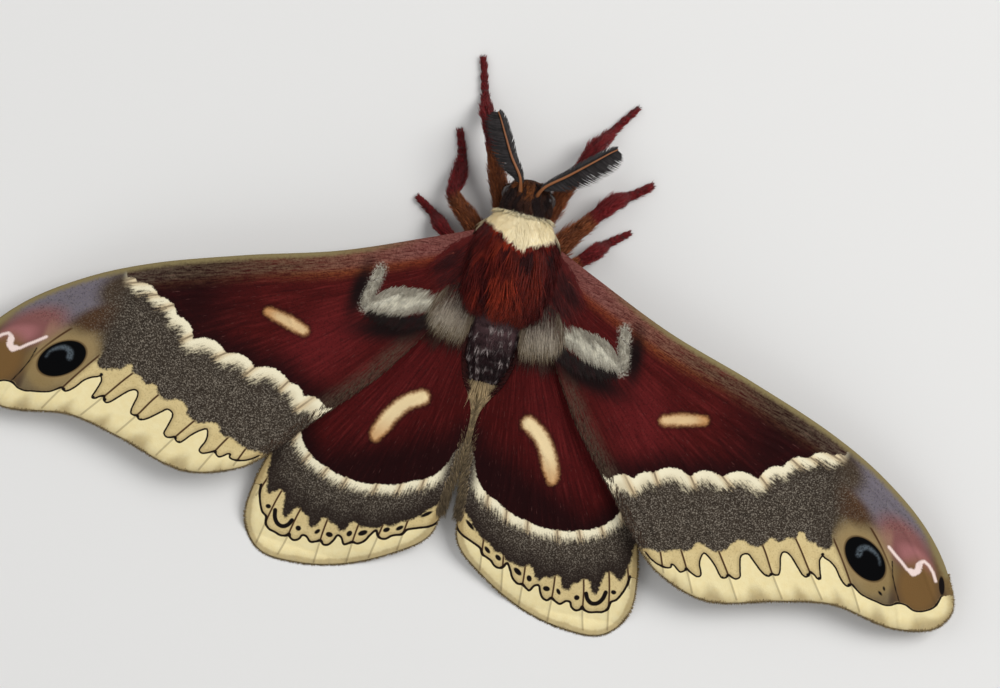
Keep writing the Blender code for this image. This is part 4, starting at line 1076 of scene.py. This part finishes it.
# Hair on the wings' bases: (name, wing, outline, tufts, lie, length, width, lift, spread,
# two colours, share of the outline over which they grow out of the dark)
WING_HAIR = (
    ("arm", "forewing", ((12.1, 7.5), (12.9, 7.4), (13.5, 10.0), (13.4, 11.0), (12.8, 10.4)), 1300,
     (0.15, 1.0), 0.65, 0.055, 0.20, 0.22, GREY_HAIR, PALE_HAIR, 0.0),
    ("lobe", "forewing", ((6.2, 8.2), (8.3, 8.3), (9.8, 8.5), (11.2, 9.0), (12.6, 10.4),
                          (12.8, 10.9), (11.6, 10.9), (10.2, 10.9), (8.6, 10.5), (7.2, 9.8),
                          (6.0, 9.3)), 5400,
     (0.50, 0.87), 1.15, 0.055, 0.26, 0.12, GREY_HAIR, PALE_HAIR, 0.0),
    # under: nearly black hair below the lobe, a painted shadow of the lobe
    ("under", "forewing", ((6.6, 10.2), (8.6, 11.2), (10.4, 11.5), (12.0, 11.3), (12.8, 11.7),
                           (10.6, 12.2), (8.2, 12.2), (5.8, 11.2)), 1200,
     (0.50, 0.87), 1.2, 0.060, 0.06, 0.12, (0.010, 0.006, 0.005), DARK_MAROON, 0.0),
    ("root", "forewing", ((3.9, 1.5), (5.6, 2.6), (7.0, 4.4), (6.8, 6.6), (5.6, 8.2), (3.6, 7.6)),
     2600, (0.62, 0.78), 2.2, 0.075, 0.10, 0.12, MAROON, DARK_MAROON, 0.0),
    ("fan", "forewing", ((2.3, 6.2), (5.0, 6.0), (6.3, 7.6), (6.3, 8.8), (5.4, 9.8), (2.5, 10.2)),
     4800, (0.20, 1.0), 2.9, 0.060, 0.09, 0.12, OLIVE_HAIR, FAN_PALE, 0.75),
    ("base", "hindwing", ((2.6, 10.2), (6.8, 10.2), (7.8, 11.6), (5.0, 12.4), (2.3, 12.0)), 1000,
     (0.20, 1.0), 2.2, 0.060, 0.05, 0.16, (0.050, 0.010, 0.009), (0.085, 0.045, 0.030), 0.9),
)


def wing_hair(material):
    """Soft hair lying tailward and outward over the bases of the wings."""
    heights = {"forewing": forewing_height, "hindwing": hindwing_height}
    veins = {"forewing": FOREWING_VEINS, "hindwing": HINDWING_VEINS}
    for (label, wing_name, outline, count, lie, length, width, lift, spread, first, second,
         inset) in WING_HAIR:
        outline = np.array(outline)
        low, high = outline.min(axis=0), outline.max(axis=0)
        x, a = even(4 * count, (low[0], high[0]), (low[1], high[1]))
        spots = np.column_stack((x, a))
        spots = spots[inside(spots, outline)][:count]
        x, a = (spots + RNG.normal(0, 0.10, spots.shape)).T
        count = len(x)
        vein = vein_distance(np.column_stack((x, a)), veins[wing_name])
        z = heights[wing_name](x, a) + membrane(x) / 2 + VEIN_RIDGE * np.exp(-(vein / 0.2)**2)
        run = x * lie[0] + a * lie[1]
        aside, tone = gathered(run, x * lie[1] - a * lie[0], 45)
        turn = RNG.normal(0, spread, count) - 0.35 * aside / length
        direction = np.column_stack((lie[0] + turn * lie[1], lie[1] - turn * lie[0],
                                     np.zeros(count)))
        ups = np.tile((0.0, 0.0, 1.0), (count, 1))
        points = tuft_points(np.column_stack((x, a, z)), ups, direction,
                             length * RNG.uniform(0.35, 1.2, count),
                             width * RNG.uniform(0.7, 1.2, count),
                             lift + RNG.normal(0, 0.04, count) + 0.03 * tone, 0.8 * lift,
                             flat=0.35, rings=LONG_RINGS if length > 2.5 else SHORT_RINGS,
                             sink=0.03)
        edge = distance(np.column_stack((x, a)), np.vstack((outline, outline[:1])))
        share = 0.75 * fade(edge, 0.0, 0.8) + 0.25 * tone + RNG.normal(0, 0.16, count)
        tints = mixed(first, second, share)
        if inset:
            depth = (run - run.min()) / (run.max() - run.min()) + RNG.normal(0, 0.1, count)
            tints = mixed(DARK_MAROON, tints, fade(depth, 0.0, inset))
        patches = unwrap(x / WING_REACH, a / WING_DEPTH)
        for side_name, side in SIDES:
            coat(f"{wing_name}_{side_name}_{label}_hair", mirrored(points, side), tints,
                 patches, material, "wing_scales", 0.5 if inset else 0.8, False)


# Hair along the wings' margins: (name, line that runs tailward on the outer side and headward on
# the inner one, height, tufts, length, width, how far in the roots reach, two colours, lean
# along the line, how much darker it is towards the line's start)
RIM_BROWNS = ((0.17, 0.115, 0.050), (0.34, 0.25, 0.115))
MARGIN_HAIR = (
    ("forewing_{}_fringe", FOREWING_OUTLINE[6:15], forewing_height, 4100, 0.34, 0.065,
     (0.02, 0.26), RIM_BROWNS, 0.0, 0.0),
    ("hindwing_{}_fringe", HINDWING_OUTLINE[2:12], hindwing_height, 4100, 0.34, 0.065,
     (0.02, 0.26), RIM_BROWNS, 0.0, 0.0),
    ("hindwing_{}_inner_hair", (*HINDWING_OUTLINE[11:14], (0.7, 16.8)), hindwing_height, 3600, 1.5,
     0.07, (-0.05, 0.9), (OLIVE_HAIR, TAN_HAIR), -2.2, 0.9),
    ("forewing_{}_margin_hair", FOREWING_OUTLINE[14:18], forewing_height, 2400, 0.65, 0.065,
     (0.0, 0.95), ((0.045, 0.020, 0.013), (0.120, 0.080, 0.050)), -2.4, 0.0),
    ("hindwing_{}_body_hair", HINDWING_OUTLINE[13:16], hindwing_height, 700, 1.1, 0.065,
     (-0.05, 0.45), ((0.020, 0.004, 0.004), (0.070, 0.012, 0.010)), -0.9, 0.0),
)


def fringe(name, points, height, count, length, width, inset, colours, lean, darker, material):
    """Fine hair or scales along a stretch of a wing's margin, on both sides of the moth."""
    line = smooth_line(points)
    along = unit(np.gradient(line, axis=0))
    outward = np.column_stack((along[:, 1], -along[:, 0]))
    run = np.linspace(0, 1, count)
    share = np.linspace(0, 1, len(line))
    x, a = (np.interp(run, share, column) for column in line.T)
    side = np.column_stack([np.interp(run, share, column) for column in outward.T])
    inset = RNG.uniform(*inset, count)
    x, a = x - side[:, 0] * inset, a - side[:, 1] * inset
    z = height(x, a) + RNG.uniform(-0.5, 0.6, count) * MEMBRANE
    ahead = np.column_stack((-side[:, 1], side[:, 0]))
    turn = side + ahead * (lean + RNG.normal(0, 0.10, count))[:, None]
    direction = np.column_stack((turn, np.zeros(count)))
    ups = np.tile((0.0, 0.0, 1.0), (count, 1))
    points = tuft_points(np.column_stack((x, a, z)), ups, direction,
                         length * RNG.uniform(0.7, 1.1, count), width, 0.04, 0.04)
    points[..., 2] = np.maximum(points[..., 2], 0.01)
    tints = mixed(*colours, RNG.uniform(0, 1, count) - darker * (0.7 - run))
    patches = unwrap(np.clip(x / WING_REACH, 0, 1), a / WING_DEPTH)
    for side_name, side in SIDES:
        coat(name.format(side_name), mirrored(points, side), tints, patches, material,
             "wing_scales", 0.85)


TUBE_AROUND = 12


def loft(path, radii, around=TUBE_AROUND):
    """Points and triangles of a round tube with closed ends."""
    path = np.asarray(path)
    along = unit(np.gradient(path, axis=0))
    sides = unit(np.cross(along, (0.0, 0.0, 1.0)))[:, None]
    ups = np.cross(sides[:, 0], along)[:, None]
    turns = np.linspace(0, 2 * math.pi, around, endpoint=False)[None, :, None]
    rings = path[:, None] + np.asarray(radii)[:, None, None] * (sides * np.cos(turns)
                                                                + ups * np.sin(turns))
    triangles = tube_faces(len(path), around)[:, (0, 2, 1)]
    return np.vstack((rings.reshape(-1, 3), path[:1], path[-1:])), triangles


# Legs: side, place of the root on the body (a, degrees), knee, heel and toe (x outward, a, z)
# and how stout the thigh is
LEGS = {
    "leg_front_right": (RIGHT, (0.0, -62), (5.1, -9.4, 3.0), (6.9, -12.2, 0.4), (8.6, -14.8, 0.3),
                        0.95),
    "leg_front_left": (LEFT, (0.0, -62), (5.6, -9.2, 3.0), (6.8, -12.4, 0.4), (7.9, -16.0, 0.3),
                       0.95),
    "leg_mid_right": (RIGHT, (2.6, -50), (8.2, -4.5, 2.8), (9.9, -5.9, 0.4), (11.9, -7.5, 0.3),
                      1.25),
    "leg_mid_left": (LEFT, (2.6, -50), (7.3, -1.6, 2.8), (7.5, -5.6, 0.4), (8.4, -8.3, 0.3), 1.1),
    "leg_hind_right": (RIGHT, (5.8, -50), (7.7, 0.6, 2.4), (8.9, -0.7, 0.4), (10.8, -2.3, 0.3),
                       0.9),
    "leg_hind_left": (LEFT, (5.8, -50), (7.4, 2.0, 2.4), (8.9, 0.7, 0.4), (10.9, -0.7, 0.3), 0.9),
}
# Share along a leg from hip to toe, and radius of its skin and length of its hair at that share
LEG_SHARES = (0.0, 0.20, 0.44, 0.52, 0.66, 0.78, 1.0)
LEG_RADII = (0.60, 0.74, 0.52, 0.44, 0.56, 0.34, 0.24)
LEG_HAIR = (1.2, 1.45, 0.95, 1.0, 1.15, 0.75, 0.55)
KNEE_SHARE = 0.47
LEG_TUFTS = 5000


def at_shares(shares, columns):
    """Rows of a table read at shares from 0 to 1 of its length."""
    places = np.linspace(0, 1, len(columns))
    return np.stack([np.interp(shares, places, column) for column in columns.T], axis=1)


def leg(name, material, hair):
    side, (root_a, degrees), knee, heel, toe, stout = LEGS[name]
    start = body_spot(np.array(root_a), np.array(math.radians(degrees)))
    knee, heel, toe = (np.array(spot) for spot in (knee, heel, toe))
    hip = start + 0.25 * (knee - start) * (1, 1, 0.6)
    path = smooth_line((start - 0.2 * (knee - start), hip, (hip + knee) / 2, knee,
                        knee + 0.45 * (heel - knee), heel, toe), 0.12)
    share = np.linspace(0, 1, len(path))
    stoutness = 0.55 + 0.45 * stout
    radii = np.interp(share, LEG_SHARES, LEG_RADII) * stoutness
    joints = 1 + 0.20 * np.cos(2 * math.pi * (share - 0.78) / 0.055) * fade(share, 0.76, 0.82)
    radii = radii * joints
    path[:, 2] = np.maximum(path[:, 2], radii + 0.02)
    points, triangles = loft(path * (side, 1, 1), radii)
    skin = mesh_object(name + "_skin", place(*points.T), triangles, material)
    shares = np.append(np.repeat(share, TUBE_AROUND), (0.0, 1.0))
    mark(skin.data, "tint", 0.6 * mixed(LEG_ORANGE, LEG_RED, fade(shares, KNEE_SHARE - 0.03,
                                                                  KNEE_SHARE + 0.03)))
    settle(skin, "leg_fur", name)

    count = LEG_TUFTS
    along, turn = even(count, (0.05, 0.99), (0.0, 2 * math.pi))
    spine = at_shares(along, path)
    axis = unit(at_shares(along, np.gradient(path, axis=0)))
    across = unit(np.cross(axis, (0.0, 0.0, 1.0)))
    over = np.cross(across, axis)
    ups = across * np.cos(turn)[:, None] + over * np.sin(turn)[:, None]
    roots = spine + ups * np.interp(along, share, radii)[:, None]
    aside, tone = gathered(along * 18, turn, 130)
    lengths = np.interp(along, LEG_SHARES, LEG_HAIR) * RNG.uniform(0.7, 1.15, count) * stoutness
    low = fade(1.0 - ups[:, 2] - roots[:, 2], 0.2, 1.2)
    lengths = lengths * (1 + 0.25 * tone) * (1 - 0.5 * low)
    lies = axis - np.cross(axis, ups) * (0.35 * aside)[:, None]
    lifts = 0.62 + RNG.normal(0, 0.08, count) + 0.12 * tone
    points = tuft_points(roots, ups, lies, lengths, 0.085 * RNG.uniform(0.8, 1.2, count),
                         lifts, 0.30, RNG.normal(0, 0.08, count))
    points[..., 2] = np.maximum(points[..., 2], 0.02)
    tints = mixed(LEG_ORANGE, LEG_RED, fade(along, KNEE_SHARE - 0.03, KNEE_SHARE + 0.03))
    tints = tints * ((1 + 0.25 * tone) * RNG.uniform(0.65, 1.30, count))[:, None]
    patches = unwrap(turn / (2 * math.pi), along)
    coat(name + "_hair", mirrored(points, side), tints, patches, hair, "leg_fur")

    ahead = unit(path[-1] - path[-4])
    beside = unit(np.cross(ahead, (0.0, 0.0, 1.0)))
    claws = []
    for hook in (-1, 1):
        line = [path[-1] - 0.1 * ahead + step * (0.42 * ahead + 0.20 * hook * beside)
                - (0, 0, 0.18 * step**2) for step in np.linspace(0, 1, 6)]
        claws.append(loft(np.maximum(line, (-99, -99, 0.05)) * (side, 1, 1),
                          np.linspace(0.075, 0.012, 6), 6))
    points = np.vstack([part[0] for part in claws])
    triangles = np.vstack((claws[0][1], claws[1][1] + len(claws[0][0])))
    piece = mesh_object(name + "_claws", place(*points.T), triangles,
                        bpy.data.materials["claw"])
    settle(piece, "leg_fur")


def legs():
    claw = Net("claw")
    claw.finish(claw.mix(claw.noise(0.3), (0.012, 0.006, 0.004), (0.050, 0.020, 0.010)), 0.35)
    net = Net("leg_skin")
    material = net.finish(net.mix(net.noise(0.3), net.colour("tint"), (0.03, 0.008, 0.006)), 0.6,
                          net.noise(0.15), 0.05, 0.5)
    hair = hair_material("leg_hair")
    for name in LEGS:
        leg(name, material, hair)


ANTENNA_PATHS = {RIGHT: ((0.7, -3.3, 6.3), (1.3, -4.4, 7.1), (3.3, -6.1, 7.1), (5.4, -8.0, 6.9),
                         (6.9, -9.4, 6.5), (7.5, -9.9, 6.2)),
                 LEFT: ((0.9, -3.4, 6.3), (1.3, -4.8, 7.1), (2.6, -6.6, 7.1), (3.7, -8.5, 6.9),
                        (4.6, -10.1, 6.5), (5.0, -10.7, 6.2))}
COMB_TEETH = 92
COMB_SHARES = (0.10, 0.25, 0.50, 0.80, 0.93, 1.0)
COMB_LENGTHS = (0.5, 1.7, 2.35, 2.15, 1.5, 0.7)


def antennae():
    """Two shafts, each with an outer and a lower row of fine comb teeth."""
    shaft = Net("antenna_shaft")
    shaft_material = shaft.finish(shaft.mix(shaft.noise(0.4), SHAFT_ORANGE, (0.20, 0.06, 0.015)),
                                  0.5, shaft.noise(0.12), 0.03, 0.5)
    comb_material = hair_material("comb", 0.65, 0.02)
    for label, side in SIDES:
        path = smooth_line(ANTENNA_PATHS[side], 0.08)
        share = np.linspace(0, 1, len(path))
        radii = np.interp(share, (0, 0.15, 1), (0.22, 0.14, 0.07))
        points, triangles = loft(path * (side, 1, 1), radii)
        piece = mesh_object(f"antenna_{label}_shaft", place(*points.T), triangles, shaft_material)
        settle(piece, "antenna", f"antenna_{label}")

        along = np.linspace(0.12, 0.985, COMB_TEETH)
        spine = at_shares(along, path)
        axis = unit(at_shares(along, np.gradient(path, axis=0)))
        outer = unit(np.cross((0.0, 0.0, 1.0), axis))
        outer = np.where(outer[:, :1] < 0, -outer, outer)
        lengths = np.interp(along, COMB_SHARES, COMB_LENGTHS)
        rows = []
        for lean, reach in ((outer - (0, 0, 0.15), 1.0), (outer - (0, 0, 0.55), 0.97),
                            (-0.45 * outer - (0, 0, 1.0), 0.85)):
            lean = unit(lean)
            ups = unit(np.cross(axis, lean))
            jitter = RNG.normal(0, 0.04, COMB_TEETH)
            rows.append(tuft_points(spine, ups, lean + (0.30 + jitter)[:, None] * axis,
                                    reach * lengths, 0.18, 0.0, 0.0, 0.22, 0.5,
                                    rings=LONG_RINGS))
        points = np.concatenate(rows)
        tints = np.tile(COMB_GREY, (len(points), 1)) * RNG.uniform(0.6, 1.5, len(points))[:, None]
        patches = np.column_stack((np.repeat((0.1, 0.4, 0.7), COMB_TEETH),
                                   np.tile(0.02 + 0.95 * along, 3)))
        coat(f"antenna_{label}_comb", mirrored(points, side), tints, patches, comb_material,
             "antenna", 1.0)


EYE_RADIUS = 1.05
EYE_CENTRE = (1.75, -3.2, 4.3)


def eyes():
    """Glossy dark compound eyes with fine facets."""
    net = Net("eye")
    colour = net.mix(net.noise(0.6), (0.010, 0.006, 0.005), (0.030, 0.014, 0.010))
    net.shader.inputs["Coat Weight"].default_value = 0.3
    net.shader.inputs["Coat Roughness"].default_value = 0.08
    material = net.finish(colour, 0.22, net.cells(0.09), 0.02, 0.35)
    for label, side in SIDES:
        shape = bmesh.new()
        bmesh.ops.create_icosphere(shape, subdivisions=5, radius=EYE_RADIUS * MM)
        centre = place(side * EYE_CENTRE[0], *EYE_CENTRE[1:])
        bmesh.ops.translate(shape, verts=shape.verts, vec=Vector(centre))
        mesh = bpy.data.meshes.new(f"eye_{label}_ball")
        shape.to_mesh(mesh)
        shape.free()
        mesh.shade_smooth()
        mesh.materials.append(material)
        piece = bpy.data.objects.new(mesh.name, mesh)
        bpy.context.collection.objects.link(piece)
        settle(piece, "eye", f"eye_{label}")


def studio():
    """The camera above the moth, a pale floor and soft light."""
    camera = bpy.data.objects.new("camera", bpy.data.cameras.new("camera"))
    bpy.context.collection.objects.link(camera)
    camera.data.sensor_width = SENSOR
    camera.data.lens = SENSOR * CAMERA_DISTANCE / IMAGE_WIDTH
    up = Vector((*IMAGE_UP, 0.0)).normalized()
    back = Vector((0.0, 0.0, 1.0))
    turn = Matrix((up.cross(back), up, back)).transposed()
    aim = Vector(place(*AIM))
    camera.matrix_world = Matrix.Translation(aim + back * CAMERA_DISTANCE * MM) @ turn.to_4x4()
    bpy.context.scene.camera = camera

    corners = FLOOR_REACH * np.array(((-1, -1, 0), (1, -1, 0), (1, 1, 0), (-1, 1, 0)))
    floor = mesh_object("floor", corners, np.array(((0, 1, 2), (0, 2, 3))),
                        Net("floor").finish(FLOOR_GREY, 0.9))
    for name, spot, size, power in LIGHTS:
        light = bpy.data.objects.new(name, bpy.data.lights.new(name, "AREA"))
        light.data.size = size
        light.data.energy = power
        light.location = spot
        light.rotation_euler = (-Vector(spot)).to_track_quat("-Z", "Y").to_euler()
        bpy.context.collection.objects.link(light)
    world = bpy.data.worlds.new("studio")
    world.use_nodes = True
    background = world.node_tree.nodes["Background"]
    background.inputs["Color"].default_value = WORLD_WHITE
    background.inputs["Strength"].default_value = WORLD_STRENGTH
    bpy.context.scene.world = world
    bpy.context.scene.view_settings.view_transform = "Standard"


studio()
wings()
body_skin()
body_coats()
wing_hair(hair_material("wing_hair"))
fringe_hair = hair_material("wing_fringe", 0.8, 0.02)
for row in MARGIN_HAIR:
    fringe(*row, fringe_hair)
legs()
antennae()
eyes()
